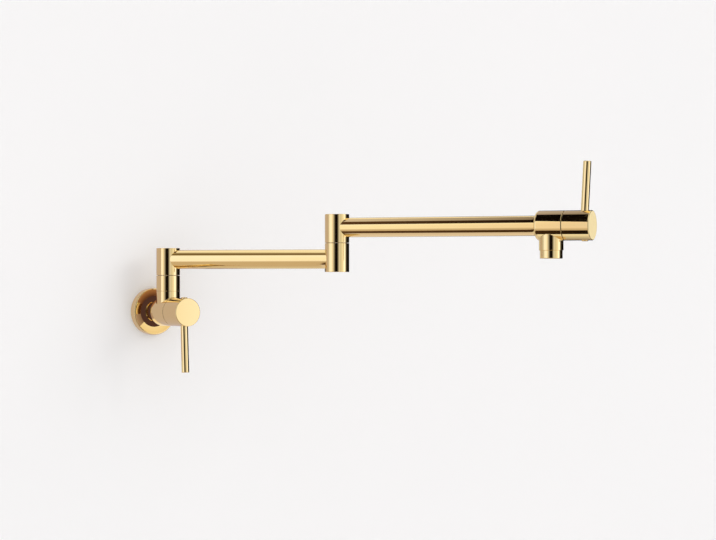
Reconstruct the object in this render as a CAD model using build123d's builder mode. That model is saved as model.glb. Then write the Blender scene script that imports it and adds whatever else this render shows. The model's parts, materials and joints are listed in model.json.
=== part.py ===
from build123d import *
import os
from math import cos, radians, sin

# Wall mounted pot filler with two swinging arms and two quarter turn valves.
#
# Frame: the wall is the plane Y = 0 and the room is on its -Y side, +X runs to the right
# and +Z up. The origin is the mouth of the inlet thread, at the middle of the flange's
# back. All sizes are in millimetres, and all angles in degrees.
#
# Two local frames are used all through:
#   a valve's plane has its origin where the valve's axis crosses its column, its z axis
#   along the valve towards the knob and its y axis straight up;
#   a column's plane lies level at a swivel's split, with its z axis straight up.

# --- Layout -------------------------------------------------------------------------
SWING = 57.0  # both arms stand out from the wall by this angle
RISER_FROM_WALL = 44.0
INNER_REACH = 234.0  # riser axis to elbow axis
OUTER_REACH = 276.0  # elbow axis to outlet axis
BOSS_RISE = 8.5  # riser boss above the top of the valve body
COLLAR_LENGTH = 19.7
RISER_SPLIT_TO_TUBE = 20.4  # swivel split up to the inner tube's axis
RISER_ABOVE_TUBE = 14.4  # inner tube's axis up to the riser's top
ELBOW_BELOW_TUBE = 16.0  # inner tube's axis down to the elbow's foot
ELBOW_TUBE_TO_SPLIT = 19.4  # inner tube's axis up to the elbow's split
ELBOW_SPLIT_TO_TUBE = 19.2  # elbow's split up to the outer tube's axis
ELBOW_ABOVE_TUBE = 16.4  # outer tube's axis up to the elbow's top
STUB_DROP = 29.2  # outer tube's axis down to the end of the outlet stub

# --- Wall flange and inlet ----------------------------------------------------------
FLANGE_DIA = 60.0
FLANGE_DEPTH = 10.0
FLANGE_WALL = 2.0
FLANGE_EDGE = 1.6  # rounding of the front edge
FLANGE_HUB_WALL = 4.0  # inner collar that holds the ring on the neck
FLANGE_HUB_SETBACK = 2.0  # collar's back face from the wall
NECK_DIA = 24.0
NECK_CLEARANCE = 0.1
NECK_THREAD_DIA = 20.0  # screws into the valve body's back
NECK_THREAD_LENGTH = 6.0
INLET_THREAD_DIA = 18.64  # minor diameter of a G 1/2 female thread
INLET_THREAD_LENGTH = 14.0

# --- Valve bodies and knobs ---------------------------------------------------------
VALVE_DIA = 35.5
BODY_MARGIN = 2.0  # body beyond its column, front and rear
BODY_EDGE = 3.2  # rounded rear shoulder
BLEND = 1.0  # largest blend where a column meets a body
KNOB_GAP = 0.8
KNOB_LENGTH = 33.2
KNOB_EDGE = 0.9
PORT_DIA = 12.0  # water passages

# --- Columns and swivels ------------------------------------------------------------
COLUMN_DIA = 30.0
SOCKET_DEPTH = 2.2  # how deep an arm tube seats in a column's wall
SOCKET_WALL = 0.8  # metal left inside the socket
CLIP_ROOM = 0.4  # round a circlip
CLIP_PROUD = 1.6  # circlip beyond the spigot
CLIP_THICKNESS = 1.0
CLIP_GROOVE_DEPTH = 0.8
CLIP_OPENING = 5.0
CLIP_LUG_DIA = 1.8
CLIP_EYE_DIA = 0.9
COLUMN_CHAMFER = 0.5
SWIVEL_GAP = 0.5  # joint line between the turning halves
SHOULDER_DEPTH = 2.5
SHOULDER_PROUD = 3.0  # spigot's shoulder beyond its shank
SHANK_GRIP = 12.0  # thread length of a spigot in its lower half
WASHER_THICKNESS = 1.5
WASHER_PROUD = 3.0  # thrust washer beyond the spigot
WAIST_LENGTH = 12.0  # spigot's waist where water leaves it
WAIST_DEPTH = 2.4
CROSS_HOLE_DIA = 7.0
BORE_PAST_HOLES = 1.0  # spigot's blind bore above its cross holes
CAP_THICKNESS = 2.0
LEDGE_LAND = 0.6  # metal between the upper seal and the circlip
SPIGOT_TIP = 1.2  # spigot beyond its circlip groove

# --- Arm tubes ----------------------------------------------------------------------
TUBE_DIA = 24.0
TUBE_WALL = 1.5
TUBE_SOCKET_DEPTH = 5.0  # outer tube in the outlet body

# --- Seals --------------------------------------------------------------------------
RING_GROOVE_WIDTH = 2.2
RING_GROOVE_DEPTH = 1.6
RING_LAND = 0.8  # metal beside a seal's groove

# --- Quarter turn headwork ----------------------------------------------------------
SEAT_SETBACK = 9.0  # seat behind the column's axis
CAVITY_DIA = 21.0
BARREL_GAP = 0.9  # water space round the barrel
BARREL_WALL = 1.2
SEAL_THICKNESS = 1.5
SEAL_PROUD = 0.5  # seal in front of the barrel's edge
DISC_THICKNESS = 2.5
DISC_CLEARANCE = 0.15
DISC_PORT_RADIUS = 4.8
DISC_PORT_WIDTH = 3.4
DISC_PORT_LENGTH = 8.0
DRIVER_THICKNESS = 3.0
TANG_WIDTH = 3.0
TANG_LENGTH = 9.0
TANG_DEPTH = 1.0
WINDOW_WIDTH = 8.0
STEM_DIA = 8.0
STEM_PAST_SCREW = 4.5
STEM_RING_DEPTH = 1.1
STEM_RING_WIDTH = 1.6
HEAD_THREAD_LENGTH = 11.0
HEX_ACROSS = 24.0
HEX_THICKNESS = 4.0
HEX_CLEARANCE = 1.0
STEM_CLIP_THICKNESS = 1.0
STEM_CLIP_PROUD = 2.0
STEM_CLIP_GROOVE = 0.7
STEM_CLIP_OPENING = 4.0

# --- Levers -------------------------------------------------------------------------
LEVER_DIA = 9.5
LEVER_LENGTH = 58.0
LEVER_TILT = 3.0  # lean away from the valve body
LEVER_SETBACK = 9.5  # behind the knob's face
LEVER_EDGE = 0.8
LEVER_SEAT = 2.5  # recess round the lever's foot
LEVER_RECESS_GAP = 0.5
STUD_DIA = 5.0
STUD_LENGTH = 8.0
SCREW_DIA = 5.0
SCREW_LENGTH = 6.0
SCREW_SOCKET = 2.5  # across the flats
SCREW_SOCKET_DEPTH = 2.5
PLUG_DIA = 8.0
PLUG_SEAT = 4.0
PLUG_PROUD = 1.0

# --- Outlet and aerator -------------------------------------------------------------
STUB_DIA = 29.0
AERATOR_DIA = 27.0
AERATOR_RING = 9.7  # visible ring under the stub
AERATOR_EDGE = 0.8
AERATOR_THREAD_DIA = 24.0
AERATOR_THREAD_LENGTH = 7.4
AERATOR_BORE = 20.0
AERATOR_LIP_DIA = 17.6
AERATOR_LIP = 1.6
AERATOR_WASHER = 1.5
SCREEN_THICKNESS = 1.0
SCREEN_HOLE = 1.5
SCREEN_PITCH = 2.5
CORE_PLATE = 2.4
CORE_WALL = 1.4
CORE_HOLE = 1.2
CORE_RIBS = 6
CORE_RIB_WIDTH = 1.0

# --- Fits ---------------------------------------------------------------------------
RUNNING_FIT = 0.05  # radial, for what turns
SEATED_FIT = 0.05  # radial or end play of what is screwed, pressed or soldered
FACE_GAP = 0.1  # between faces that slide on each other
SEAL_GAP = 0.02  # round a squeezed seal
JOINT_CHAMFER = 0.3  # breaks the edges beside a joint line

# --- Sizes that follow --------------------------------------------------------------
boss_top = VALVE_DIA / 2 + BOSS_RISE
riser_split = boss_top + COLLAR_LENGTH
inner_height = riser_split + RISER_SPLIT_TO_TUBE
elbow_split = inner_height + ELBOW_TUBE_TO_SPLIT
outer_height = elbow_split + ELBOW_SPLIT_TO_TUBE

cope_dia = COLUMN_DIA - 2 * SOCKET_DEPTH
cap_dia = cope_dia - 2 * SOCKET_WALL
clip_dia = cap_dia - 2 * CLIP_ROOM
spigot_dia = clip_dia - 2 * CLIP_PROUD
ring_groove_dia = spigot_dia - 2 * RING_GROOVE_DEPTH
clip_groove_dia = spigot_dia - 2 * CLIP_GROOVE_DEPTH
shoulder_dia = spigot_dia + 2 * SHOULDER_PROUD
washer_dia = spigot_dia + 2 * WASHER_PROUD

body_front = COLUMN_DIA / 2 + BODY_MARGIN
knob_back = body_front + KNOB_GAP
knob_front = knob_back + KNOB_LENGTH
lever_level = knob_front - LEVER_SETBACK

seat_level = -SEAT_SETBACK
barrel_start = seat_level + SEAL_PROUD
fixed_start = seat_level + SEAL_THICKNESS
moving_start = fixed_start + DISC_THICKNESS + SEATED_FIT
driver_start = moving_start + DISC_THICKNESS
driver_end = driver_start + DRIVER_THICKNESS
hex_end = body_front + HEX_THICKNESS
stem_clip_start = hex_end + FACE_GAP
stem_end = lever_level + STEM_PAST_SCREW
barrel_dia = CAVITY_DIA - 2 * BARREL_GAP
barrel_bore = barrel_dia - 2 * BARREL_WALL
disc_dia = barrel_bore - 2 * DISC_CLEARANCE
head_thread_dia = CAVITY_DIA - 2 * SEATED_FIT
hex_corners = HEX_ACROSS / cos(radians(30))

# --- Local frames -------------------------------------------------------------------
arm_direction = Vector(cos(radians(SWING)), -sin(radians(SWING)), 0)
across_arm = Vector(sin(radians(SWING)), cos(radians(SWING)), 0)
riser_foot = Vector(0, -RISER_FROM_WALL, 0)
UP = 1
DOWN = -1


def level_plane(reach, height):
    """Level plane on a column's axis, this far out along the arms and this high."""
    place = riser_foot + arm_direction * reach + Vector(0, 0, height)
    return Plane(origin=place, x_dir=arm_direction, z_dir=(0, 0, 1))


def arm_plane(reach, height, way=1):
    """Plane square to the arms; its z axis points out along them, or back if way is -1."""
    place = riser_foot + arm_direction * reach + Vector(0, 0, height)
    return Plane(origin=place, x_dir=across_arm * way, z_dir=arm_direction * way)


def lever_plane(valve, side):
    """Plane on the knob at the lever's foot, with its z axis along the leaning lever."""
    foot = valve.from_local_coords(Vector(0, side * VALVE_DIA / 2, lever_level))
    upright = valve.y_dir * side * cos(radians(LEVER_TILT))
    direction = upright + valve.z_dir * sin(radians(LEVER_TILT))
    return Plane(origin=foot, x_dir=valve.x_dir, z_dir=direction)


def screw_plane(valve, side):
    """Plane on the valve's axis whose z axis points away from the lever."""
    place = valve.from_local_coords(Vector(0, 0, lever_level))
    return Plane(origin=place, x_dir=valve.x_dir, z_dir=valve.y_dir * -side)


wall = Plane(origin=(0, 0, 0), x_dir=(1, 0, 0), z_dir=(0, -1, 0))
wall_valve = Plane(origin=riser_foot, x_dir=(1, 0, 0), z_dir=(0, -1, 0))
outlet_valve = arm_plane(INNER_REACH + OUTER_REACH, outer_height)
riser_level = level_plane(0, riser_split)
elbow_level = level_plane(INNER_REACH, elbow_split)
outlet_level = level_plane(INNER_REACH + OUTER_REACH, outer_height)


# --- Building helpers ---------------------------------------------------------------
def disc(plane, diameter, start, end, mode=Mode.ADD):
    """Add or cut a round bar between two distances along a plane's z axis."""
    with BuildSketch(plane.offset(start)) as outline:
        Circle(diameter / 2)
    extrude(outline.sketch, amount=end - start, dir=plane.z_dir, mode=mode)


def ring(plane, outer, inner, start, end, mode=Mode.ADD):
    """Add or cut a ring between two distances along a plane's z axis."""
    with BuildSketch(plane.offset(start)) as outline:
        Circle(outer / 2)
        Circle(inner / 2, mode=Mode.SUBTRACT)
    extrude(outline.sketch, amount=end - start, dir=plane.z_dir, mode=mode)


def hexagon(plane, across, start, end, mode=Mode.ADD):
    """Add or cut a hexagonal bar, given its size across the flats."""
    with BuildSketch(plane.offset(start)) as outline:
        RegularPolygon(across / 2, 6, major_radius=False)
    extrude(outline.sketch, amount=end - start, dir=plane.z_dir, mode=mode)


def rim(piece, plane, level, diameter):
    """The round edge of a piece with this diameter, at this distance along a plane."""
    centre = plane.from_local_coords(Vector(0, 0, level))
    round_edges = piece.edges().filter_by(GeomType.CIRCLE)
    same_size = round_edges.filter_by(lambda edge: abs(edge.radius - diameter / 2) < 0.001)
    return same_size.sort_by(lambda edge: (edge.arc_center - centre).length)[0]


def seal_ring(plane, level, inner, outer):
    """One squeezed round seal that fills the gland between two diameters."""
    section = (outer - inner) / 2 - 2 * SEAL_GAP
    with BuildPart(plane.offset(level)) as seal:
        Torus((inner + outer) / 4, section / 2)
    return seal.part


def coped_bar(plane, diameter, length, cope):
    """Round bar along a tube's axis, hollowed at its start to fit a column's wall."""
    with BuildPart() as bar:
        disc(plane, diameter, 0, length)
        with BuildSketch(Plane(origin=plane.origin, z_dir=(0, 0, 1))) as column:
            Circle(cope / 2)
        extrude(column.sketch, amount=diameter, both=True, mode=Mode.SUBTRACT)
    return bar.part


def save(part, name):
    """Name a finished piece and write its file."""
    part.label = name
    export_step(part, f"parts/{name}.step")


os.makedirs("parts", exist_ok=True)


# --- Wall flange --------------------------------------------------------------------
hub_dia = NECK_DIA + 2 * FLANGE_HUB_WALL
flange_ring_level = FLANGE_HUB_SETBACK + (FLANGE_DEPTH - FLANGE_HUB_SETBACK) / 2
flange_groove_dia = NECK_DIA + 2 * RING_GROOVE_DEPTH

with BuildPart() as wall_flange:
    disc(wall, FLANGE_DIA, 0, FLANGE_DEPTH)
    fillet(rim(wall_flange, wall, FLANGE_DEPTH, FLANGE_DIA), FLANGE_EDGE)
    ring(
        wall,
        FLANGE_DIA - 2 * FLANGE_WALL,
        hub_dia,
        0,
        FLANGE_DEPTH - FLANGE_WALL,
        Mode.SUBTRACT,
    )
    disc(wall, hub_dia, 0, FLANGE_HUB_SETBACK, Mode.SUBTRACT)
    disc(wall, NECK_DIA + 2 * NECK_CLEARANCE, 0, FLANGE_DEPTH, Mode.SUBTRACT)
    disc(
        wall,
        flange_groove_dia,
        flange_ring_level - RING_GROOVE_WIDTH / 2,
        flange_ring_level + RING_GROOVE_WIDTH / 2,
        Mode.SUBTRACT,
    )
save(wall_flange.part, "wall_flange")
save(seal_ring(wall, flange_ring_level, NECK_DIA, flange_groove_dia), "flange_oring")


# --- Valve bodies -------------------------------------------------------------------
def bare_body(valve, column, column_dia, column_length):
    """Round valve body with a column standing on it, and the valve's own passages.

    The column's plane has its origin in the body's middle and its z axis along the column.
    """
    with BuildPart() as bar:
        disc(column, column_dia, 0, column_length)
        chamfer(rim(bar, column, column_length, column_dia), JOINT_CHAMFER)
    with BuildPart() as body:
        disc(valve, VALVE_DIA, -body_front, body_front)
        fillet(rim(body, valve, -body_front, VALVE_DIA), BODY_EDGE)
        chamfer(rim(body, valve, body_front, VALVE_DIA), JOINT_CHAMFER)
        edges_before = body.edges()
        add(bar.part)
        saddle = (body.edges() - edges_before).filter_by(GeomType.CIRCLE, reverse=True)
        blend = min(BLEND, (VALVE_DIA - column_dia) / 4)
        fillet(saddle.filter_by(GeomType.LINE, reverse=True), blend)
        disc(valve, PORT_DIA, -body_front, seat_level, Mode.SUBTRACT)
        disc(valve, CAVITY_DIA, seat_level, body_front, Mode.SUBTRACT)
        disc(column, PORT_DIA, 0, column_length, Mode.SUBTRACT)
    return body.part


boss = level_plane(0, 0)
neck_seat = RISER_FROM_WALL - body_front

with BuildPart() as wall_valve_body:
    add(bare_body(wall_valve, boss, COLUMN_DIA, boss_top))
    disc(wall, NECK_THREAD_DIA, neck_seat, neck_seat + NECK_THREAD_LENGTH, Mode.SUBTRACT)
    disc(boss, spigot_dia, boss_top - SHANK_GRIP, boss_top, Mode.SUBTRACT)
save(wall_valve_body.part, "wall_valve_body")

stub = Plane(origin=outlet_level.origin, x_dir=arm_direction, z_dir=(0, 0, -1))

with BuildPart() as outlet_valve_body:
    add(bare_body(outlet_valve, stub, STUB_DIA, STUB_DROP))
    disc(
        outlet_valve,
        TUBE_DIA + 2 * SEATED_FIT,
        -body_front,
        -body_front + TUBE_SOCKET_DEPTH,
        Mode.SUBTRACT,
    )
    disc(
        stub,
        AERATOR_THREAD_DIA + 2 * SEATED_FIT,
        STUB_DROP - AERATOR_THREAD_LENGTH - AERATOR_WASHER - FACE_GAP,
        STUB_DROP,
        Mode.SUBTRACT,
    )
save(outlet_valve_body.part, "outlet_valve_body")


# --- Inlet neck ---------------------------------------------------------------------
neck_end = neck_seat + NECK_THREAD_LENGTH - FACE_GAP

with BuildPart() as inlet_neck:
    disc(wall, NECK_DIA, 0, neck_seat)
    disc(wall, NECK_THREAD_DIA - 2 * SEATED_FIT, neck_seat, neck_end)
    disc(wall, INLET_THREAD_DIA, 0, INLET_THREAD_LENGTH, Mode.SUBTRACT)
    disc(wall, PORT_DIA, INLET_THREAD_LENGTH, neck_end, Mode.SUBTRACT)
save(inlet_neck.part, "inlet_neck")


# --- Quarter turn headworks and handles ---------------------------------------------
housing_ring_level = body_front - RING_LAND - RING_GROOVE_WIDTH / 2
housing_groove_dia = head_thread_dia - 2 * RING_GROOVE_DEPTH
stem_ring_level = body_front - HEAD_THREAD_LENGTH / 2
stem_groove_dia = STEM_DIA - 2 * STEM_RING_DEPTH
stem_clip_bore = STEM_DIA - 2 * STEM_CLIP_GROOVE
stem_clip_dia = STEM_DIA + 2 * STEM_CLIP_PROUD


def disc_ports(plane, start, end, turn):
    """Cut the two opposite ports of a ceramic disc, turned this far round its axis."""
    with BuildSketch(plane.offset(start)) as ports:
        with PolarLocations(DISC_PORT_RADIUS, 2, start_angle=turn):
            SlotOverall(DISC_PORT_LENGTH, DISC_PORT_WIDTH, rotation=90)
    extrude(ports.sketch, amount=end - start, dir=plane.z_dir, mode=Mode.SUBTRACT)


def cartridge_housing(valve):
    """Brass headwork: barrel with side windows, thread, seal groove and hexagon."""
    with BuildPart() as housing:
        disc(valve, barrel_dia, barrel_start, body_front)
        disc(valve, head_thread_dia, body_front - HEAD_THREAD_LENGTH, body_front)
        hexagon(valve, HEX_ACROSS, body_front, hex_end)
        ring(
            valve,
            CAVITY_DIA,
            housing_groove_dia,
            housing_ring_level - RING_GROOVE_WIDTH / 2,
            housing_ring_level + RING_GROOVE_WIDTH / 2,
            Mode.SUBTRACT,
        )
        disc(valve, barrel_bore, barrel_start, driver_end + FACE_GAP, Mode.SUBTRACT)
        disc(valve, STEM_DIA + 2 * RUNNING_FIT, driver_end, hex_end, Mode.SUBTRACT)
        for across in (valve.x_dir, valve.y_dir):
            middle = valve.from_local_coords(Vector(0, 0, (moving_start + driver_end) / 2))
            with BuildSketch(Plane(origin=middle, x_dir=valve.z_dir, z_dir=across)) as window:
                Rectangle(driver_end - moving_start, WINDOW_WIDTH)
            extrude(window.sketch, amount=CAVITY_DIA, both=True, mode=Mode.SUBTRACT)
    return housing.part


def seat_seal(valve):
    """Rubber ring pressed between the seat and the fixed disc."""
    with BuildPart() as seal:
        ring(valve, disc_dia, PORT_DIA, seat_level, fixed_start)
    return seal.part


def fixed_disc(valve):
    """Ceramic disc that stays with the housing."""
    with BuildPart() as plate:
        disc(valve, disc_dia, fixed_start, fixed_start + DISC_THICKNESS)
        disc_ports(valve, fixed_start, fixed_start + DISC_THICKNESS, 0)
    return plate.part


def moving_disc(valve):
    """Ceramic disc that turns with the stem, a quarter turn out of line when shut."""
    with BuildPart() as plate:
        disc(valve, disc_dia, moving_start, driver_start)
        disc_ports(valve, moving_start, driver_start, 90)
        with BuildSketch(valve.offset(driver_start)) as slot:
            Rectangle(TANG_LENGTH + 2 * FACE_GAP, TANG_WIDTH + 2 * FACE_GAP)
        extrude(slot.sketch, amount=-TANG_DEPTH - FACE_GAP, mode=Mode.SUBTRACT)
    return plate.part


def stem(valve):
    """Driver and spindle in one piece, with a tang in the moving disc's slot."""
    with BuildPart() as spindle:
        disc(valve, disc_dia, driver_start, driver_end)
        disc_ports(valve, driver_start, driver_end, 90)
        disc(valve, STEM_DIA, driver_start, stem_end)
        with BuildSketch(valve.offset(driver_start)) as tang:
            Rectangle(TANG_LENGTH, TANG_WIDTH)
        extrude(tang.sketch, amount=-TANG_DEPTH)
        ring(
            valve,
            STEM_DIA + 2 * FACE_GAP,
            stem_groove_dia,
            stem_ring_level - STEM_RING_WIDTH / 2,
            stem_ring_level + STEM_RING_WIDTH / 2,
            Mode.SUBTRACT,
        )
        ring(
            valve,
            STEM_DIA + 2 * FACE_GAP,
            stem_clip_bore,
            stem_clip_start,
            stem_clip_start + STEM_CLIP_THICKNESS,
            Mode.SUBTRACT,
        )
    return spindle.part


def stem_clip(valve):
    """Open ring in the stem's groove that keeps the stem in its housing."""
    with BuildPart() as clip:
        with BuildSketch(valve.offset(stem_clip_start)) as outline:
            Circle(stem_clip_dia / 2)
            Circle(stem_clip_bore / 2 + SEAL_GAP, mode=Mode.SUBTRACT)
            with Locations((stem_clip_dia / 2, 0)):
                Rectangle(stem_clip_dia, STEM_CLIP_OPENING, mode=Mode.SUBTRACT)
        extrude(outline.sketch, amount=STEM_CLIP_THICKNESS - FACE_GAP)
    return clip.part


def knob(valve, side):
    """Cup shaped knob over the hexagon, bored for the stem, the lever and the screw."""
    lever_foot = lever_plane(valve, side)
    screw_axis = screw_plane(valve, side)
    cup_end = stem_clip_start + STEM_CLIP_THICKNESS + FACE_GAP
    with BuildPart() as cup:
        disc(valve, VALVE_DIA, knob_back, knob_front)
        fillet(rim(cup, valve, knob_front, VALVE_DIA), KNOB_EDGE)
        chamfer(rim(cup, valve, knob_back, VALVE_DIA), JOINT_CHAMFER)
        disc(valve, hex_corners + 2 * HEX_CLEARANCE, knob_back, cup_end, Mode.SUBTRACT)
        disc(valve, STEM_DIA + 2 * SEATED_FIT, cup_end, stem_end + FACE_GAP, Mode.SUBTRACT)
        disc(
            lever_foot,
            LEVER_DIA + 2 * LEVER_RECESS_GAP,
            -LEVER_SEAT - SEATED_FIT,
            LEVER_SEAT,
            Mode.SUBTRACT,
        )
        disc(
            lever_foot,
            STUD_DIA + 2 * SEATED_FIT,
            -LEVER_SEAT - STUD_LENGTH - FACE_GAP,
            0,
            Mode.SUBTRACT,
        )
        disc(screw_axis, SCREW_DIA + 2 * SEATED_FIT, 0, VALVE_DIA / 2, Mode.SUBTRACT)
        disc(
            screw_axis,
            PLUG_DIA + 2 * SEATED_FIT,
            VALVE_DIA / 2 - PLUG_SEAT - SEATED_FIT,
            VALVE_DIA / 2,
            Mode.SUBTRACT,
        )
    return cup.part


def lever(valve, side):
    """Round pin lever with a threaded stud at its foot."""
    foot = lever_plane(valve, side)
    with BuildPart() as pin:
        disc(foot, LEVER_DIA, -LEVER_SEAT, LEVER_LENGTH)
        fillet(rim(pin, foot, LEVER_LENGTH, LEVER_DIA), LEVER_EDGE)
        disc(foot, STUD_DIA, -LEVER_SEAT - STUD_LENGTH, -LEVER_SEAT)
    return pin.part


def grub_screw(valve, side):
    """Hexagon socket screw that clamps the knob on the stem."""
    axis = screw_plane(valve, side)
    tip = STEM_DIA / 2 + SEATED_FIT
    with BuildPart() as screw:
        disc(axis, SCREW_DIA, tip, tip + SCREW_LENGTH)
        hexagon(
            axis,
            SCREW_SOCKET,
            tip + SCREW_LENGTH - SCREW_SOCKET_DEPTH,
            tip + SCREW_LENGTH,
            Mode.SUBTRACT,
        )
    return screw.part


def screw_plug(valve, side):
    """Domed plug that closes the screw's hole opposite the lever."""
    axis = screw_plane(valve, side)
    top = VALVE_DIA / 2 + PLUG_PROUD
    with BuildPart() as plug:
        disc(axis, PLUG_DIA, VALVE_DIA / 2 - PLUG_SEAT, top)
        fillet(rim(plug, axis, top, PLUG_DIA), PLUG_PROUD)
    return plug.part


for valve_name, valve, lever_side in (
    ("wall", wall_valve, DOWN),
    ("outlet", outlet_valve, UP),
):
    housing_seal = seal_ring(valve, housing_ring_level, housing_groove_dia, head_thread_dia)
    stem_seal = seal_ring(valve, stem_ring_level, stem_groove_dia, STEM_DIA)
    save(cartridge_housing(valve), f"{valve_name}_cartridge_housing")
    save(housing_seal, f"{valve_name}_housing_seal")
    save(seat_seal(valve), f"{valve_name}_seat_seal")
    save(fixed_disc(valve), f"{valve_name}_fixed_disc")
    save(moving_disc(valve), f"{valve_name}_moving_disc")
    save(stem(valve), f"{valve_name}_stem")
    save(stem_seal, f"{valve_name}_stem_oring")
    save(stem_clip(valve), f"{valve_name}_stem_clip")
    save(knob(valve, lever_side), f"{valve_name}_knob")
    save(lever(valve, lever_side), f"{valve_name}_lever")
    save(grub_screw(valve, lever_side), f"{valve_name}_grub_screw")
    save(screw_plug(valve, lever_side), f"{valve_name}_screw_plug")


# --- Riser collar -------------------------------------------------------------------
with BuildPart() as riser_collar:
    disc(riser_level, COLUMN_DIA, -COLLAR_LENGTH, 0)
    chamfer(rim(riser_collar, riser_level, -COLLAR_LENGTH, COLUMN_DIA), JOINT_CHAMFER)
    chamfer(rim(riser_collar, riser_level, 0, COLUMN_DIA), JOINT_CHAMFER)
    disc(riser_level, spigot_dia, -COLLAR_LENGTH, 0, Mode.SUBTRACT)
    disc(riser_level, shoulder_dia + 2 * SEATED_FIT, -SHOULDER_DEPTH, 0, Mode.SUBTRACT)
save(riser_collar.part, "riser_collar")


# --- Swivels ------------------------------------------------------------------------
seal_offset = WAIST_LENGTH / 2 + RING_LAND + RING_GROOVE_WIDTH / 2


def seal_levels(tube_rise):
    """Heights of the two seals' middles over a split, below and above the tube's opening."""
    return tube_rise - seal_offset, tube_rise + seal_offset


def ledge_level(tube_rise):
    """Height over a split of the ledge that the circlip holds down."""
    return tube_rise + seal_offset + RING_GROOVE_WIDTH / 2 + LEDGE_LAND


def spigot(split, shank_length, tube_rise):
    """Hollow swivel pin, screwed into the lower half, that feeds the tube above it."""
    ledge = ledge_level(tube_rise)
    top = ledge + FACE_GAP + CLIP_THICKNESS + SPIGOT_TIP
    outside = spigot_dia + 2 * FACE_GAP
    with BuildPart() as pin:
        disc(
            split,
            spigot_dia - 2 * SEATED_FIT,
            -SHOULDER_DEPTH - shank_length,
            -SHOULDER_DEPTH,
        )
        disc(split, shoulder_dia, -SHOULDER_DEPTH, 0)
        disc(split, spigot_dia, 0, top)
        ring(
            split,
            outside,
            spigot_dia - 2 * WAIST_DEPTH,
            tube_rise - WAIST_LENGTH / 2,
            tube_rise + WAIST_LENGTH / 2,
            Mode.SUBTRACT,
        )
        for level in seal_levels(tube_rise):
            ring(
                split,
                outside,
                ring_groove_dia,
                level - RING_GROOVE_WIDTH / 2,
                level + RING_GROOVE_WIDTH / 2,
                Mode.SUBTRACT,
            )
        ring(
            split,
            outside,
            clip_groove_dia,
            ledge + FACE_GAP,
            ledge + FACE_GAP + CLIP_THICKNESS,
            Mode.SUBTRACT,
        )
        disc(
            split,
            PORT_DIA,
            -SHOULDER_DEPTH - shank_length,
            tube_rise + CROSS_HOLE_DIA / 2 + BORE_PAST_HOLES,
            Mode.SUBTRACT,
        )
        for across in (split.x_dir, split.y_dir):
            middle = split.from_local_coords(Vector(0, 0, tube_rise))
            with BuildSketch(Plane(origin=middle, z_dir=across)) as cross_hole:
                Circle(CROSS_HOLE_DIA / 2)
            extrude(cross_hole.sketch, amount=spigot_dia, both=True, mode=Mode.SUBTRACT)
    return pin.part


def spigot_rings(split, tube_rise):
    """The two seals of a spigot, one below and one above the tube's opening."""
    with BuildPart() as pair:
        for level in seal_levels(tube_rise):
            add(seal_ring(split, level, ring_groove_dia, spigot_dia))
    return pair.part


def thrust_washer(split):
    """Low friction washer that carries the upper half."""
    with BuildPart() as washer:
        ring(split, washer_dia, spigot_dia + 2 * RUNNING_FIT, 0, WASHER_THICKNESS)
    return washer.part


def circlip(split, tube_rise):
    """Open spring ring with two eyes, in the spigot's top groove."""
    start = ledge_level(tube_rise) + FACE_GAP
    eye_radius = (clip_dia - CLIP_LUG_DIA) / 2
    eye_offset = CLIP_OPENING / 2 + CLIP_LUG_DIA / 2
    eye_along = (eye_radius**2 - eye_offset**2) ** 0.5
    with BuildPart() as clip:
        with BuildSketch(split.offset(start)) as outline:
            Circle(clip_dia / 2)
            Circle(clip_groove_dia / 2 + SEAL_GAP, mode=Mode.SUBTRACT)
            with Locations((clip_dia / 2, 0)):
                Rectangle(clip_dia / 2, CLIP_OPENING, mode=Mode.SUBTRACT)
            with Locations((eye_along, eye_offset), (eye_along, -eye_offset)):
                Circle(CLIP_LUG_DIA / 2)
                Circle(CLIP_EYE_DIA / 2, mode=Mode.SUBTRACT)
        extrude(outline.sketch, amount=CLIP_THICKNESS - SEATED_FIT)
    return clip.part


def swivel_hub(split, tube_plane, tube_rise, above_tube):
    """Upper half of a swivel column, with the socket of the tube that leaves it."""
    column_top = tube_rise + above_tube
    washer_recess = WASHER_THICKNESS + FACE_GAP
    with BuildPart() as hub:
        disc(split, COLUMN_DIA, SWIVEL_GAP, column_top)
        chamfer(rim(hub, split, SWIVEL_GAP, COLUMN_DIA), JOINT_CHAMFER)
        chamfer(rim(hub, split, column_top, COLUMN_DIA), COLUMN_CHAMFER)
        disc(
            split,
            washer_dia + 2 * SEATED_FIT,
            SWIVEL_GAP,
            washer_recess,
            Mode.SUBTRACT,
        )
        disc(split, spigot_dia + 2 * RUNNING_FIT, SWIVEL_GAP, column_top, Mode.SUBTRACT)
        disc(split, cap_dia, ledge_level(tube_rise), column_top, Mode.SUBTRACT)
        disc(tube_plane, WAIST_LENGTH, 0, COLUMN_DIA / 2, Mode.SUBTRACT)
        socket = coped_bar(tube_plane, TUBE_DIA + 2 * SEATED_FIT, COLUMN_DIA, cope_dia)
        add(socket, mode=Mode.SUBTRACT)
    return hub.part


def column_cap(split, tube_rise, above_tube):
    """Pressed cap that closes a column's top, flush with it."""
    column_top = tube_rise + above_tube
    with BuildPart() as cap:
        disc(split, cap_dia - 2 * SEATED_FIT, column_top - CAP_THICKNESS, column_top)
        chamfer(rim(cap, split, column_top, cap_dia - 2 * SEATED_FIT), JOINT_CHAMFER)
    return cap.part


inner_tube_plane = arm_plane(0, inner_height)
outer_tube_plane = arm_plane(INNER_REACH, outer_height)
riser_shank = COLLAR_LENGTH - SHOULDER_DEPTH + SHANK_GRIP - FACE_GAP

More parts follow.
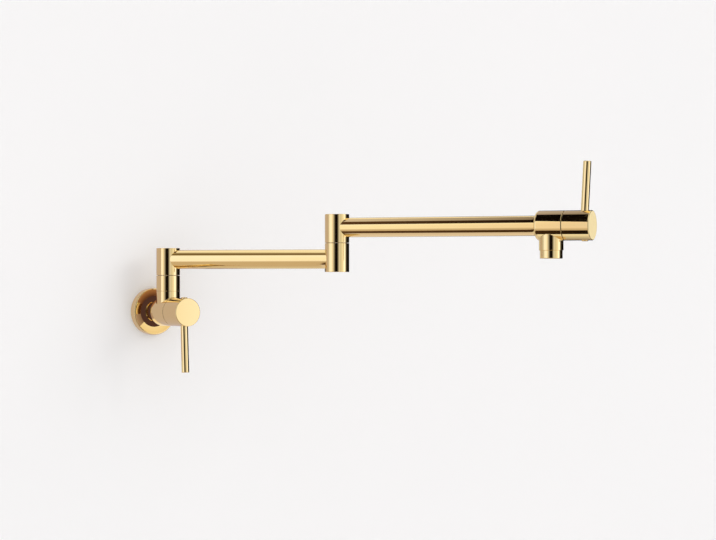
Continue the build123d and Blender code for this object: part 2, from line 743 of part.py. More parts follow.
for place, split, shank, rise, over, tube_plane, hub_name, cap_name in (
    (
        "riser",
        riser_level,
        riser_shank,
        RISER_SPLIT_TO_TUBE,
        RISER_ABOVE_TUBE,
        inner_tube_plane,
        "inner_hub",
        "inner_hub_cap",
    ),
    (
        "elbow",
        elbow_level,
        SHANK_GRIP,
        ELBOW_SPLIT_TO_TUBE,
        ELBOW_ABOVE_TUBE,
        outer_tube_plane,
        "elbow_upper_hub",
        "elbow_upper_cap",
    ),
):
    save(spigot(split, shank, rise), f"{place}_spigot")
    save(spigot_rings(split, rise), f"{place}_orings")
    save(thrust_washer(split), f"{place}_washer")
    save(circlip(split, rise), f"{place}_circlip")
    save(swivel_hub(split, tube_plane, rise, over), hub_name)
    save(column_cap(split, rise, over), cap_name)


# --- Elbow's lower half -------------------------------------------------------------
elbow_foot = ELBOW_TUBE_TO_SPLIT + ELBOW_BELOW_TUBE
elbow_entry = arm_plane(INNER_REACH, inner_height, way=-1)
shank_seat = SHOULDER_DEPTH + SHANK_GRIP + FACE_GAP

with BuildPart() as elbow_lower_hub:
    disc(elbow_level, COLUMN_DIA, -elbow_foot, 0)
    chamfer(rim(elbow_lower_hub, elbow_level, -elbow_foot, COLUMN_DIA), COLUMN_CHAMFER)
    chamfer(rim(elbow_lower_hub, elbow_level, 0, COLUMN_DIA), JOINT_CHAMFER)
    disc(elbow_level, shoulder_dia + 2 * SEATED_FIT, -SHOULDER_DEPTH, 0, Mode.SUBTRACT)
    disc(elbow_level, spigot_dia, -shank_seat, 0, Mode.SUBTRACT)
    disc(elbow_level, PORT_DIA, -ELBOW_TUBE_TO_SPLIT - PORT_DIA / 2, 0, Mode.SUBTRACT)
    disc(elbow_entry, PORT_DIA, 0, COLUMN_DIA / 2, Mode.SUBTRACT)
    elbow_socket = coped_bar(elbow_entry, TUBE_DIA + 2 * SEATED_FIT, COLUMN_DIA, cope_dia)
    add(elbow_socket, mode=Mode.SUBTRACT)
save(elbow_lower_hub.part, "elbow_lower_hub")


# --- Arm tubes ----------------------------------------------------------------------
tube_cope = cope_dia + 2 * SEATED_FIT

with BuildPart() as inner_tube:
    add(coped_bar(inner_tube_plane, TUBE_DIA, INNER_REACH / 2, tube_cope))
    add(coped_bar(elbow_entry, TUBE_DIA, INNER_REACH / 2, tube_cope))
    disc(inner_tube_plane, TUBE_DIA - 2 * TUBE_WALL, 0, INNER_REACH, Mode.SUBTRACT)
save(inner_tube.part, "inner_tube")

outer_tube_end = OUTER_REACH - body_front + TUBE_SOCKET_DEPTH - SEATED_FIT

with BuildPart() as outer_tube:
    add(coped_bar(outer_tube_plane, TUBE_DIA, outer_tube_end, tube_cope))
    disc(outer_tube_plane, TUBE_DIA - 2 * TUBE_WALL, 0, outer_tube_end, Mode.SUBTRACT)
save(outer_tube.part, "outer_tube")


# --- Aerator ------------------------------------------------------------------------
ring_end = -STUB_DROP
aerator_end = ring_end - AERATOR_RING
thread_top = ring_end + AERATOR_THREAD_LENGTH
screen_start = aerator_end + AERATOR_LIP
core_start = screen_start + SCREEN_THICKNESS + SEATED_FIT
core_dia = AERATOR_BORE - 2 * SEATED_FIT


def rings_of_places(pitch, outside):
    """Hole places on rings round a middle one, as far out as a diameter allows."""
    places = [(0, 0)]
    count = int((outside / 2 - pitch / 2) / pitch)
    for step in range(1, count + 1):
        for location in PolarLocations(pitch * step, 6 * step):
            places.append((location.position.X, location.position.Y))
    return places


with BuildPart() as aerator_housing:
    disc(outlet_level, AERATOR_DIA, aerator_end, ring_end)
    chamfer(rim(aerator_housing, outlet_level, aerator_end, AERATOR_DIA), AERATOR_EDGE)
    chamfer(rim(aerator_housing, outlet_level, ring_end, AERATOR_DIA), JOINT_CHAMFER)
    disc(outlet_level, AERATOR_THREAD_DIA, ring_end, thread_top)
    disc(outlet_level, AERATOR_BORE, screen_start, thread_top, Mode.SUBTRACT)
    disc(outlet_level, AERATOR_LIP_DIA, aerator_end, thread_top, Mode.SUBTRACT)
save(aerator_housing.part, "aerator_housing")

with BuildPart() as aerator_washer:
    ring(
        outlet_level,
        AERATOR_THREAD_DIA,
        PORT_DIA,
        thread_top + SEATED_FIT,
        thread_top + AERATOR_WASHER,
    )
save(aerator_washer.part, "aerator_washer")

with BuildPart() as aerator_screen:
    disc(outlet_level, core_dia, screen_start, screen_start + SCREEN_THICKNESS)
    with BuildSketch(outlet_level.offset(screen_start)):
        with Locations(*rings_of_places(SCREEN_PITCH, AERATOR_LIP_DIA)):
            Circle(SCREEN_HOLE / 2)
    extrude(amount=SCREEN_THICKNESS, mode=Mode.SUBTRACT)
save(aerator_screen.part, "aerator_screen")

with BuildPart() as aerator_core:
    disc(outlet_level, core_dia, core_start, thread_top)
    disc(
        outlet_level,
        core_dia - 2 * CORE_WALL,
        core_start,
        thread_top - CORE_PLATE,
        Mode.SUBTRACT,
    )
    with BuildSketch(outlet_level.offset(core_start)) as ribs:
        for turn in range(CORE_RIBS // 2):
            Rectangle(core_dia - CORE_WALL, CORE_RIB_WIDTH, rotation=turn * 360 / CORE_RIBS)
    extrude(ribs.sketch, amount=thread_top - CORE_PLATE - core_start)
    with BuildSketch(outlet_level.offset(thread_top)) as jets:
        with Locations(*rings_of_places(SCREEN_PITCH, PORT_DIA)):
            Circle(CORE_HOLE / 2)
    extrude(jets.sketch, amount=-CORE_PLATE, mode=Mode.SUBTRACT)
save(aerator_core.part, "aerator_core")
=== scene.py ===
"""Looks of a wall mounted pot filler, built around its packed construction.

Sizes are in millimetres, as on a workshop drawing, and become metres where a mesh is made.
A turned piece takes its place and its main sizes from the CAD node that it stands for, and
only its edges, bores and seats are given here.
"""

import json
import logging
from dataclasses import dataclass
from enum import Enum
from functools import cached_property
from math import acos, asin, atan2, cos, pi, radians, sin, tan
from typing import Any, NamedTuple, Sequence

import bmesh
import bpy
import numpy as np
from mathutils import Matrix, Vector


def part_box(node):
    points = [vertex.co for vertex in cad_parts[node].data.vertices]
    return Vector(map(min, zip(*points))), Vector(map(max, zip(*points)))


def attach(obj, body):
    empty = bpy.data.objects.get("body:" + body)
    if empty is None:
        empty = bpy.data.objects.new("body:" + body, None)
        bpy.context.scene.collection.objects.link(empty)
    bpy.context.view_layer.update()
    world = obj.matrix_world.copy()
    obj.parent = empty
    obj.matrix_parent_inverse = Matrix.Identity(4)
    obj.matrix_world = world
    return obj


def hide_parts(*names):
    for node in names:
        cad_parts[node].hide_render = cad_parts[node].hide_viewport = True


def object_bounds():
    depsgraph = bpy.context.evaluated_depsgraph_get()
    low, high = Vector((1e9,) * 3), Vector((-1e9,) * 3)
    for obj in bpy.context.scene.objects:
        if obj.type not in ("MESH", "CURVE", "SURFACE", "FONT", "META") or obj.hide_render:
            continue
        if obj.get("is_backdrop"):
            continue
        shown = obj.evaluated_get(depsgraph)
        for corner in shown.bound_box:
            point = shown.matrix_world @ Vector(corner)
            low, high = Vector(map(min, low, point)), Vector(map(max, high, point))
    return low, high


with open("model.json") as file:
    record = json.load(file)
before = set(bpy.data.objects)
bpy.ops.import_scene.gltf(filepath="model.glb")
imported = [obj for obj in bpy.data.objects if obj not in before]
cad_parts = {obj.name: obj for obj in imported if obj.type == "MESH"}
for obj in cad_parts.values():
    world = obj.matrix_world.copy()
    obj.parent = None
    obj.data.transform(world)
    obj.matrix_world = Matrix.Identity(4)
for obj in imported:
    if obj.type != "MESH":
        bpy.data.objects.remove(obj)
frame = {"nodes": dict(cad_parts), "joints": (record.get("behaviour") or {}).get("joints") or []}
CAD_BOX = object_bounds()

Piece = bpy.types.Object
Tree = bpy.types.NodeTree
Node = bpy.types.Node
Socket = bpy.types.NodeSocket
Inputs = dict[Any, Any]
Span = tuple[float, float]
Bore = tuple[float, float, float]  # radius, and the lowest and highest level

MM = 0.001
FINE = 192  # segments of a large turned piece
SMALL = 96  # segments of a small one
ROUNDING = 6  # stretches in a rounded corner
SHARP_EDGE = radians(28)
ON_AXIS = 1e-6  # radius below which a ring is a single point
TWIN = 1e-7  # distance in metres below which two points are one
WELD = 0.002  # how near two points of a carved piece may be before they become one
PIECE_TURN = radians(0.63)  # odd turns, so that no edge of a tool lies on an edge of a piece
TOOL_TURN = radians(1.37)
AREA_ONLY = 100  # weight with which only the area of a face counts in the shading
FIT = 0.05  # how much wider a bore is than what goes into it
WATERWAY = 6.0  # radius of the drilled waterways
UP = Vector((0, 0, 1))

log = logging.getLogger("pot_filler")


class Cut(Enum):
    """How a tool changes the piece that it meets."""

    ADD = "UNION"
    REMOVE = "DIFFERENCE"


class LeverSide(Enum):
    """Way in which a valve's lever points."""

    HANGS = -1
    STANDS = 1


# --- Node trees -------------------------------------------------------------------------
MIX_FACTOR, MIX_FIRST, MIX_SECOND, MIX_RESULT = 0, 6, 7, 2  # colour sockets of a Mix node


def linear(tone: str) -> tuple[float, float, float, float]:
    """Linear colour of an sRGB hex value such as #FBE3A7."""
    shares = [int(tone[place : place + 2], 16) / 255 for place in (1, 3, 5)]
    parts = [s / 12.92 if s <= 0.04045 else ((s + 0.055) / 1.055) ** 2.4 for s in shares]
    return (*parts, 1.0)


def add_node(tree: Tree, kind: str, inputs: Inputs | None = None, **settings: Any) -> Node:
    """Add one node to a tree.

    Args:
        tree: Tree that gets the node.
        kind: Blender's name of the kind of node.
        inputs: What each input gets, by its name or number: a value, the socket that feeds
            it, or a node whose first output feeds it.
        settings: The node's own properties.

    Returns:
        The node.
    """
    node = tree.nodes.new(kind)
    for name, value in settings.items():
        setattr(node, name, value)
    for key, value in (inputs or {}).items():
        if isinstance(value, Node):
            value = value.outputs[0]
        if isinstance(value, Socket):
            tree.links.new(value, node.inputs[key])
        else:
            node.inputs[key].default_value = value
    return node


def maths(tree: Tree, operation: str, *values: Any) -> Node:
    """One Math node, fed with values, sockets or nodes."""
    return add_node(tree, "ShaderNodeMath", dict(enumerate(values)), operation=operation)


def mix(tree: Tree, factor: Any, first: Any, second: Any) -> Socket:
    """Colour between two others."""
    inputs = {MIX_FACTOR: factor, MIX_FIRST: first, MIX_SECOND: second}
    return add_node(tree, "ShaderNodeMix", inputs, data_type="RGBA").outputs[MIX_RESULT]


def add_noise(tree: Tree, size: float, detail: float, inputs: Inputs, **settings: Any) -> Node:
    """Noise whose pattern has this size in millimetres."""
    sizes = {"Scale": 1 / (size * MM), "Detail": detail}
    return add_node(tree, "ShaderNodeTexNoise", inputs | sizes, **settings)


def empty_tree(holder: Any) -> Tree:
    """Node tree of a material or world, cleared of what it starts with."""
    holder.use_nodes = True
    holder.node_tree.nodes.clear()
    return holder.node_tree


@dataclass(frozen=True)
class Finish:
    """A real surface: two tones that mottle, a spread of roughness and a fine relief.

    Attributes:
        slot: The record's name of it.
        name: Name of the material, by what it is and how it was made.
        tone: Main colour.
        shade: Colour that the mottling drifts to.
        patch: Size of the mottling in mm.
        metallic: 1 for bare or coated metal.
        roughness: Smoothest and roughest place.
        grain: Size of the relief's pattern in mm.
        relief: Depth of the relief in mm.
        along: Axis of turning marks, or None where the grain has no direction.
    """

    slot: str
    name: str
    tone: str
    shade: str
    patch: float
    metallic: float
    roughness: Span
    grain: float
    relief: float
    along: tuple[float, float, float] | None = None
    mottle_detail: float = 3.0
    grain_detail: float = 2.0
    haze: Span = (0.3, 0.7)  # shares of the mottling between which the roughness changes

    @cached_property
    def material(self) -> bpy.types.Material:
        """The material, built on Object coordinates when it is first asked for."""
        material = bpy.data.materials.new(self.name)
        tree = empty_tree(material)
        place = {"Vector": add_node(tree, "ShaderNodeTexCoord").outputs["Object"]}
        mottle = add_noise(tree, self.patch, self.mottle_detail, place)
        if self.along is None:
            grain = add_noise(tree, self.grain, self.grain_detail, place)
        else:
            across = {0: place["Vector"], 1: self.along}
            level = add_node(tree, "ShaderNodeVectorMath", across, operation="DOT_PRODUCT")
            rings = {"W": level.outputs["Value"]}
            grain = add_noise(tree, self.grain, self.grain_detail, rings, noise_dimensions="1D")
        spread = dict(zip(("From Min", "From Max"), self.haze))
        spread |= dict(zip(("To Min", "To Max"), self.roughness))
        depth = {"Height": grain, "Strength": 1.0, "Distance": self.relief * MM}
        surface = {
            "Base Color": mix(tree, mottle, linear(self.tone), linear(self.shade)),
            "Metallic": self.metallic,
            "Roughness": add_node(tree, "ShaderNodeMapRange", {"Value": mottle} | spread),
            "Normal": add_node(tree, "ShaderNodeBump", depth),
        }
        shader = add_node(tree, "ShaderNodeBsdfPrincipled", surface)
        add_node(tree, "ShaderNodeOutputMaterial", {"Surface": shader})
        return material


# Brass buffed to a mirror under a thin gold coloured vapour coat. The buffing leaves a very
# shallow swell that bends reflections a little, and faint patches of haze.
POLISHED_GOLD = Finish(
    "polished_gold_brass", "polished_gold_coat",
    "#FDE2A4", "#FBDD9C", 22.0, 1.0, (0.035, 0.07), 9.0, 0.001,
)
# Free cutting brass straight from the lathe, with fine rings from the tool. They are drawn
# about twice as coarse as real ones so that they show.
MACHINED_BRASS = Finish(
    "machined_brass", "turned_brass",
    "#C9A765", "#B8924F", 6.0, 1.0, (0.22, 0.34), 0.35, 0.02, (0.0, 0.0, 1.0),
)
# Sintered and lapped alumina: dense, nearly white and a little glossy.
ALUMINA = Finish(
    "alumina_ceramic", "lapped_alumina",
    "#E9E5DC", "#DAD5CA", 1.2, 0.0, (0.18, 0.3), 0.3, 0.004,
)
# Moulded EPDM rubber: black, matt, with a fine bloom.
EPDM = Finish(
    "black_rubber", "moulded_epdm_rubber",
    "#1B1B1C", "#2A2929", 2.0, 0.0, (0.5, 0.68), 0.4, 0.02,
)
# Skived PTFE sheet: waxy white with no shine.
PTFE = Finish(
    "white_ptfe", "skived_ptfe",
    "#F2F1EC", "#E6E4DC", 3.0, 0.0, (0.38, 0.5), 0.6, 0.006,
)
# Hardened spring steel with a dark phosphate skin and an oily sheen.
SPRING_STEEL = Finish(
    "spring_steel", "phosphated_spring_steel",
    "#4A4744", "#37342F", 1.5, 1.0, (0.32, 0.5), 0.25, 0.01,
)
# Injection moulded acetal: clean white, slightly glossy, with a faint grain of the mould.
ACETAL = Finish(
    "white_acetal", "moulded_acetal",
    "#EFEFEC", "#E4E5E2", 4.0, 0.0, (0.25, 0.34), 0.5, 0.004,
)
# Drawn stainless steel wire.
STAINLESS = Finish(
    "stainless_screen", "drawn_stainless_wire",
    "#C9C9C6", "#B2B3B2", 0.8, 1.0, (0.18, 0.3), 0.2, 0.004,
)


# --- Axes and turned outlines -----------------------------------------------------------
@dataclass(frozen=True)
class Axis:
    """Axis of a turned piece, in millimetres.

    Attributes:
        origin: Point on the axis where its levels start.
        along: Unit vector along it.
        up: Unit vector square to it, from which angles are counted.
    """

    origin: Vector
    along: Vector
    up: Vector

    def points(self, levels: Any, radii: Any, angles: Any) -> np.ndarray:
        """Places given by level, radius and angle, one row for each."""
        across = np.array(self.along.cross(self.up))
        levels, radii, angles = np.broadcast_arrays(levels, radii, angles)
        outwards = np.outer(np.cos(angles), self.up) + np.outer(np.sin(angles), across)
        return np.array(self.origin) + np.outer(levels, self.along) + outwards * radii[:, None]

    def ring(self, level: Any, radius: Any, segments: int = FINE) -> np.ndarray:
        """Points evenly round the axis; the level or radius may change with the angle."""
        return self.points(level, radius, np.arange(segments) * 2 * pi / segments)

    def pole(self, level: float) -> np.ndarray:
        """A single point on the axis, to close a solid end."""
        return self.points([level], [0.0], [0.0])

    def place(self, level: float) -> Vector:
        """Point on the axis at this level."""
        return self.origin + self.along * level

    def moved(self, level: float) -> "Axis":
        """The same axis with its levels counted from there."""
        return Axis(self.place(level), self.along, self.up)

    def twisted(self, angle: float) -> "Axis":
        """The same axis with its angles counted from a little further round."""
        across = self.along.cross(self.up)
        return Axis(self.origin, self.along, self.up * cos(angle) + across * sin(angle))

    def span(self, node: str) -> Span:
        """Lowest and highest level that a CAD node reaches on this axis."""
        levels = (corners_of(node) - np.array(self.origin)) @ np.array(self.along)
        return float(levels.min()), float(levels.max())

    def reach(self, node: str) -> float:
        """Largest radius that a CAD node has about this axis."""
        offsets = corners_of(node) - np.array(self.origin)
        levels = offsets @ np.array(self.along)
        return float(np.linalg.norm(offsets - np.outer(levels, self.along), axis=1).max())

    def size(self, node: str) -> tuple[float, float, float]:
        """Lowest and highest level and largest radius of a CAD node on this axis."""
        return (*self.span(node), self.reach(node))


def corners_of(node: str) -> np.ndarray:
    """Vertices of a CAD node in millimetres, one row for each."""
    vertices = frame["nodes"][node].data.vertices
    places = np.zeros(len(vertices) * 3)
    vertices.foreach_get("co", places)
    return places.reshape(-1, 3) / MM


def joint_axis(name: str, up: Vector = UP) -> Axis:
    """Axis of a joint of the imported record, with its origin at the joint's own place.

    Args:
        name: The joint's name.
        up: Direction from which angles are counted.

    Returns:
        The axis.
    """
    joint = next(item for item in frame["joints"] if item["name"] == name)
    return Axis(Vector(joint["pos_m"]) / MM, Vector(joint["axis"]), up)


class Corner(NamedTuple):
    """Corner of a turned outline: level and radius on the axis, and its own rounding."""

    level: float
    radius: float
    edge: float = 0.0


def solid(*corners: Sequence[float]) -> list[Corner]:
    """Outline of a solid piece: these corners between two flat ends."""
    places = [Corner(*corner) for corner in corners]
    return [Corner(places[0].level, 0), *places, Corner(places[-1].level, 0)]


def bored(*corners: Sequence[float]) -> list[Corner]:
    """Outline of a piece with a bore: these corners, the last one joined to the first."""
    return [Corner(*corner) for corner in corners]


def outline(corners: Sequence[Corner]) -> list[Span]:
    """Closed outline with its corners rounded, as levels and radii.

    Args:
        corners: Corners in order round the outline.

    Returns:
        The outline's points.
    """
    places = [np.array((corner.level, corner.radius)) for corner in corners]
    points = []
    for index, corner in enumerate(corners):
        here = places[index]
        if corner.edge == 0:
            points.append(tuple(here))
            continue
        before = places[index - 1] - here
        after = places[(index + 1) % len(corners)] - here
        before /= np.linalg.norm(before)
        after /= np.linalg.norm(after)
        half = acos(float(before @ after)) / 2
        middle = before + after
        centre = here + middle / np.linalg.norm(middle) * corner.edge / sin(half)
        first = here + before * corner.edge / tan(half) - centre
        last = here + after * corner.edge / tan(half) - centre
        turn = pi - 2 * half
        for step in range(ROUNDING + 1):
            part = turn * step / ROUNDING
            spoke = (first * sin(turn - part) + last * sin(part)) / sin(turn)
            points.append(tuple(centre + spoke))
    return points


# --- Meshes -----------------------------------------------------------------------------
def linked(name: str, data: Any) -> Piece:
    """New object with this data, linked to the scene."""
    piece = bpy.data.objects.new(name, data)
    bpy.context.scene.collection.objects.link(piece)
    return piece


def finished_mesh(name: str, form: bmesh.types.BMesh) -> bpy.types.Mesh:
    """Clean mesh whose faces point outwards, smooth but for its real edges.

    Args:
        name: Name of the mesh.
        form: Form in metres, freed here.

    Returns:
        The mesh.
    """
    bmesh.ops.remove_doubles(form, verts=form.verts, dist=TWIN)
    bmesh.ops.recalc_face_normals(form, faces=form.faces)
    mesh = bpy.data.meshes.new(name)
    form.to_mesh(mesh)
    form.free()
    mesh.shade_smooth()
    mesh.set_sharp_from_angle(angle=SHARP_EDGE)
    return mesh


def applied_mesh(piece: Piece) -> bpy.types.Mesh:
    """Mesh that a piece's modifiers give; they are removed."""
    seen = piece.evaluated_get(bpy.context.evaluated_depsgraph_get())
    mesh = bpy.data.meshes.new_from_object(seen)
    piece.modifiers.clear()
    return mesh


def skin(name: str, rings: Sequence[np.ndarray], closed: bool) -> Piece:
    """Piece made of rings of points that are joined in order.

    Args:
        name: Name of the piece.
        rings: Rings in millimetres, all with as many points, or single points as poles.
        closed: True if the last ring is joined to the first, as on a bored piece.

    Returns:
        The piece.
    """
    form = bmesh.new()
    loops = [[form.verts.new(Vector(point) * MM) for point in ring] for ring in rings]
    pairs = list(zip(loops, loops[1:]))
    if closed:
        pairs.append((loops[-1], loops[0]))
    for lower, upper in pairs:
        count = max(len(lower), len(upper))
        for index in range(count):
            after = (index + 1) % count
            corners = [lower[index % len(lower)], lower[after % len(lower)]]
            corners += [upper[after % len(upper)], upper[index % len(upper)]]
            form.faces.new(list(dict.fromkeys(corners)))
    return linked(name, finished_mesh(name, form))


def turned(name: str, axis: Axis, corners: Sequence[Corner], segments: int = FINE) -> Piece:
    """Turned piece; an outline that starts and ends on the axis makes a solid one.

    Args:
        name: Name of the piece.
        axis: Axis that it turns about.
        corners: Corners of its outline.
        segments: Points in each ring.

    Returns:
        The piece.
    """
    rings = []
    for level, radius in outline(corners):
        if radius < ON_AXIS:
            rings.append(axis.pole(level))
        else:
            rings.append(axis.ring(level, radius, segments))
    return skin(name, rings, closed=corners[0].radius > 0)


def stepped_bar(name: str, axis: Axis, *steps: Bore) -> Piece:
    """Round bar in one or more lengths, used as a tool.

    Args:
        name: Name of the tool.
        axis: Its axis.
        steps: Radius of each length with its first and last level, in order along the axis;
            where two overlap, the wider one wins.

    Returns:
        The bar.
    """
    levels = sorted({level for step in steps for level in step[1:]})
    corners = []
    for low, high in zip(levels, levels[1:]):
        radius = max(step[0] for step in steps if step[1] <= low and high <= step[2])
        if corners and radius == corners[-1][1]:
            corners.pop()
        else:
            corners.append((low, radius))
        corners.append((high, radius))
    return turned(name, axis.twisted(TOOL_TURN), solid(*corners), SMALL)


def carve(piece: Piece, cut: Cut, *tools: Piece) -> None:
    """Add tools to a piece, or cut them out of it, and clear the tools away.

    Args:
        piece: Piece that is changed.
        cut: What the tools do.
        tools: Closed forms.
    """
    for tool in tools:
        modifier = piece.modifiers.new("carve", "BOOLEAN")
        modifier.operation = cut.value
        modifier.solver = "EXACT"
        modifier.object = tool
        form = bmesh.new()
        form.from_mesh(applied_mesh(piece))
        bmesh.ops.remove_doubles(form, verts=form.verts, dist=WELD * MM)
        bmesh.ops.dissolve_degenerate(form, edges=form.edges, dist=WELD * MM)
        piece.data = finished_mesh(piece.name, form)
        bpy.data.objects.remove(tool)


def coped_tube(name: str, axis: Axis, radii: Span, ends: Span, copes: Span) -> Piece:
    """Tube or bar along an axis whose ends are hollowed to fit upright columns.

    Args:
        name: Name of the piece.
        axis: Its axis, level, with up as its second direction.
        radii: Outer and inner radius; an inner radius of 0 makes a bar.
        ends: Levels of the columns' axes, or of a plain end where its cope is 0.
        copes: Radius of each column, or 0 for a plain end.

    Returns:
        The piece.
    """
    angles = np.arange(FINE) * 2 * pi / FINE

    def bent_ring(end: int, radius: float) -> np.ndarray:
        """Ring at one end, bent to the column there."""
        inwards = 1 if end == 0 else -1
        offset = radius * np.sin(angles)
        bend = np.sqrt(np.maximum(copes[end] ** 2 - offset**2, 0))
        return axis.ring(ends[end] + inwards * bend * (copes[end] > 0), radius)

    outer, inner = radii
    rings = [bent_ring(0, outer), bent_ring(1, outer)]
    if inner > 0:
        rings += [bent_ring(1, inner), bent_ring(0, inner)]
        return skin(name, rings, closed=True)
    rings.insert(0, axis.pole(ends[0] + copes[0]))
    rings.append(axis.pole(ends[1] - copes[1]))
    return skin(name, rings, closed=False)


def true_up(piece: Piece) -> None:
    """Let the large faces set the shading, so that small roundings don't bend what they mirror."""
    modifier = piece.modifiers.new("true_up", "WEIGHTED_NORMAL")
    modifier.keep_sharp = True
    modifier.weight = AREA_ONLY
    piece.data = applied_mesh(piece)


def dress(piece: Piece, finish: Finish, body: str, *nodes: str) -> None:
    """Give a finished piece its material, its body and the nodes it stands for.

    Args:
        piece: The piece.
        finish: Its surface.
        body: CAD body that it moves with.
        nodes: CAD nodes that it replaces.
    """
    true_up(piece)
    piece.data.materials.clear()
    piece.data.materials.append(finish.material)
    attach(piece, body)
    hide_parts(*nodes)
    log.info("%s rides on %s, %d faces", piece.name, body, len(piece.data.polygons))


# --- Geometry Nodes ---------------------------------------------------------------------
class Grower:
    """A Geometry Nodes tree with named sizes, grown into one plain mesh."""

    def __init__(self, name: str, sizes: dict[str, float]) -> None:
        """Make the empty tree with its inputs and its output.

        Args:
            name: Name of the piece that it grows.
            sizes: Value in millimetres or a plain number for each named input.
        """
        self.name = name
        self.tree = bpy.data.node_groups.new(name, "GeometryNodeTree")
        self.values = {}
        face = self.tree.interface
        for label, value in sizes.items():
            socket = face.new_socket(label, in_out="INPUT", socket_type="NodeSocketFloat")
            self.values[socket.identifier] = value
        face.new_socket("Geometry", in_out="OUTPUT", socket_type="NodeSocketGeometry")
        self.sizes = self.add("NodeGroupInput").outputs

    def add(self, kind: str, inputs: Inputs | None = None, **settings: Any) -> Node:
        """Add one node to the tree."""
        return add_node(self.tree, kind, inputs, **settings)

    def maths(self, operation: str, *values: Any) -> Node:
        """Add one Math node to the tree."""
        return maths(self.tree, operation, *values)

    def vector(self, **parts: Any) -> Node:
        """Add a vector made of its parts."""
        return self.add("ShaderNodeCombineXYZ", parts)

    def swept(self, curve: Any, section: Any, caps: bool = True) -> Node:
        """Add a mesh that follows a curve with this section."""
        inputs = {"Curve": curve, "Profile Curve": section, "Fill Caps": caps}
        return self.add("GeometryNodeCurveToMesh", inputs)

    def circle(self, points: int, radius: Any) -> Node:
        """Add a circle."""
        inputs = {"Resolution": points, "Radius": radius}
        return self.add("GeometryNodeCurvePrimitiveCircle", inputs)

    def grow(self, shape: Any, finish: Finish) -> Piece:
        """End the tree, run it once and keep its result as a plain mesh.

        Args:
            shape: The finished geometry, still in millimetres.
            finish: Surface of the whole piece.

        Returns:
            The piece, without its modifier.
        """
        real = self.add("GeometryNodeRealizeInstances", {"Geometry": shape})
        paint = {"Geometry": real, "Material": finish.material}
        self.add("NodeGroupOutput", {0: self.add("GeometryNodeSetMaterial", paint)})
        piece = linked(self.name, bpy.data.meshes.new(self.name))
        modifier = piece.modifiers.new(self.name, "NODES")
        modifier.node_group = self.tree
        for key, value in self.values.items():
            modifier[key] = value
        form = bmesh.new()
        form.from_mesh(applied_mesh(piece))
        piece.data = finished_mesh(self.name, form)
        return piece


def settle(piece: Piece, axis: Axis) -> None:
    """Lay a piece that was made round the Z axis, in millimetres, on another axis.

    Args:
        piece: Piece with Z along its axis and X towards the axis's up.
        axis: Where it goes.
    """
    across = axis.along.cross(axis.up)
    for vertex in piece.data.vertices:
        turned_place = axis.up * vertex.co.x + across * vertex.co.y + axis.along * vertex.co.z
        vertex.co = (axis.origin + turned_place) * MM


# --- Sub-assemblies ---------------------------------------------------------------------
@dataclass(frozen=True)
class WallFlange:
    """Round hollow cover plate on the wall and the threaded neck behind it."""

    axis: Axis
    wall: float = 2.0
    front_edge: float = 1.6
    inner_edge: float = 0.3
    hub_setback: float = 2.0
    hub_wall: float = 4.0
    neck_clearance: float = 0.1
    thread_major: float = 10.48  # radius at the roots of a G 1/2 thread
    thread_pitch: float = 1.814
    thread_depth: float = 14.0
    thread_margin: float = 1.2
    thread_sides: int = 4
    mouth_edge: float = 0.6
    tail_radius: float = 9.95

    def build(self) -> None:
        """Make the flange, the neck and the neck's thread."""
        self.build_flange()
        self.build_neck()

    def build_flange(self) -> None:
        """Make the hollow plate with its inner collar."""
        back, front, outer = self.axis.size("wall_flange")
        bore = self.axis.reach("inlet_neck") + self.neck_clearance
        inside, hub_back, edge = front - self.wall, back + self.hub_setback, self.inner_edge
        corners = bored(
            (back, outer, edge),
            (front, outer, self.front_edge),
            (front, bore, edge),
            (hub_back, bore, edge),
            (hub_back, bore + self.hub_wall, edge),
            (inside, bore + self.hub_wall),
            (inside, outer - self.wall),
            (back, outer - self.wall, edge),
        )
        flange = turned("wall_flange_plate", self.axis, corners)
        dress(flange, POLISHED_GOLD, "wall_base", "wall_flange")

    def build_neck(self) -> None:
        """Make the neck, bored to the thread's roots, and the thread itself."""
        back, tip, outer = self.axis.size("inlet_neck")
        shoulder = self.axis.span("wall_valve_body")[0]
        thread_end = back + self.thread_depth
        corners = bored(
            (back, outer, self.mouth_edge),
            (shoulder, outer, self.inner_edge),
            (shoulder, self.tail_radius),
            (tip, self.tail_radius, self.mouth_edge),
            (tip, WATERWAY, self.inner_edge),
            (thread_end, WATERWAY, self.inner_edge),
            (thread_end, self.thread_major),
            (back, self.thread_major, self.mouth_edge),
        )
        neck = turned("inlet_neck_tube", self.axis, corners)
        dress(neck, POLISHED_GOLD, "wall_base", "inlet_neck")
        thread = self.grow_thread()
        settle(thread, self.axis.moved(back))
        dress(thread, POLISHED_GOLD, "wall_base")

    def grow_thread(self) -> Piece:
        """Helical ridge that follows the bore, made by a tree with the thread's own sizes."""
        grower = Grower(
            "inlet_thread",
            {
                "Radius": self.thread_major,
                "Pitch": self.thread_pitch,
                "Margin": self.thread_margin,
                "Length": self.thread_depth - 2 * self.thread_margin,
            },
        )
        radius, pitch, margin, length = (grower.sizes[index] for index in range(4))
        helix = {
            "Resolution": SMALL,
            "Rotations": grower.maths("DIVIDE", length, pitch),
            "Start Radius": radius,
            "End Radius": radius,
            "Height": length,
        }
        spiral = grower.add("GeometryNodeCurveSpiral", helix)
        ridge = grower.circle(self.thread_sides, grower.maths("DIVIDE", pitch, 2.0))
        lift = {"Geometry": grower.swept(spiral, ridge), "Translation": grower.vector(Z=margin)}
        return grower.grow(grower.add("GeometryNodeTransform", lift), POLISHED_GOLD)


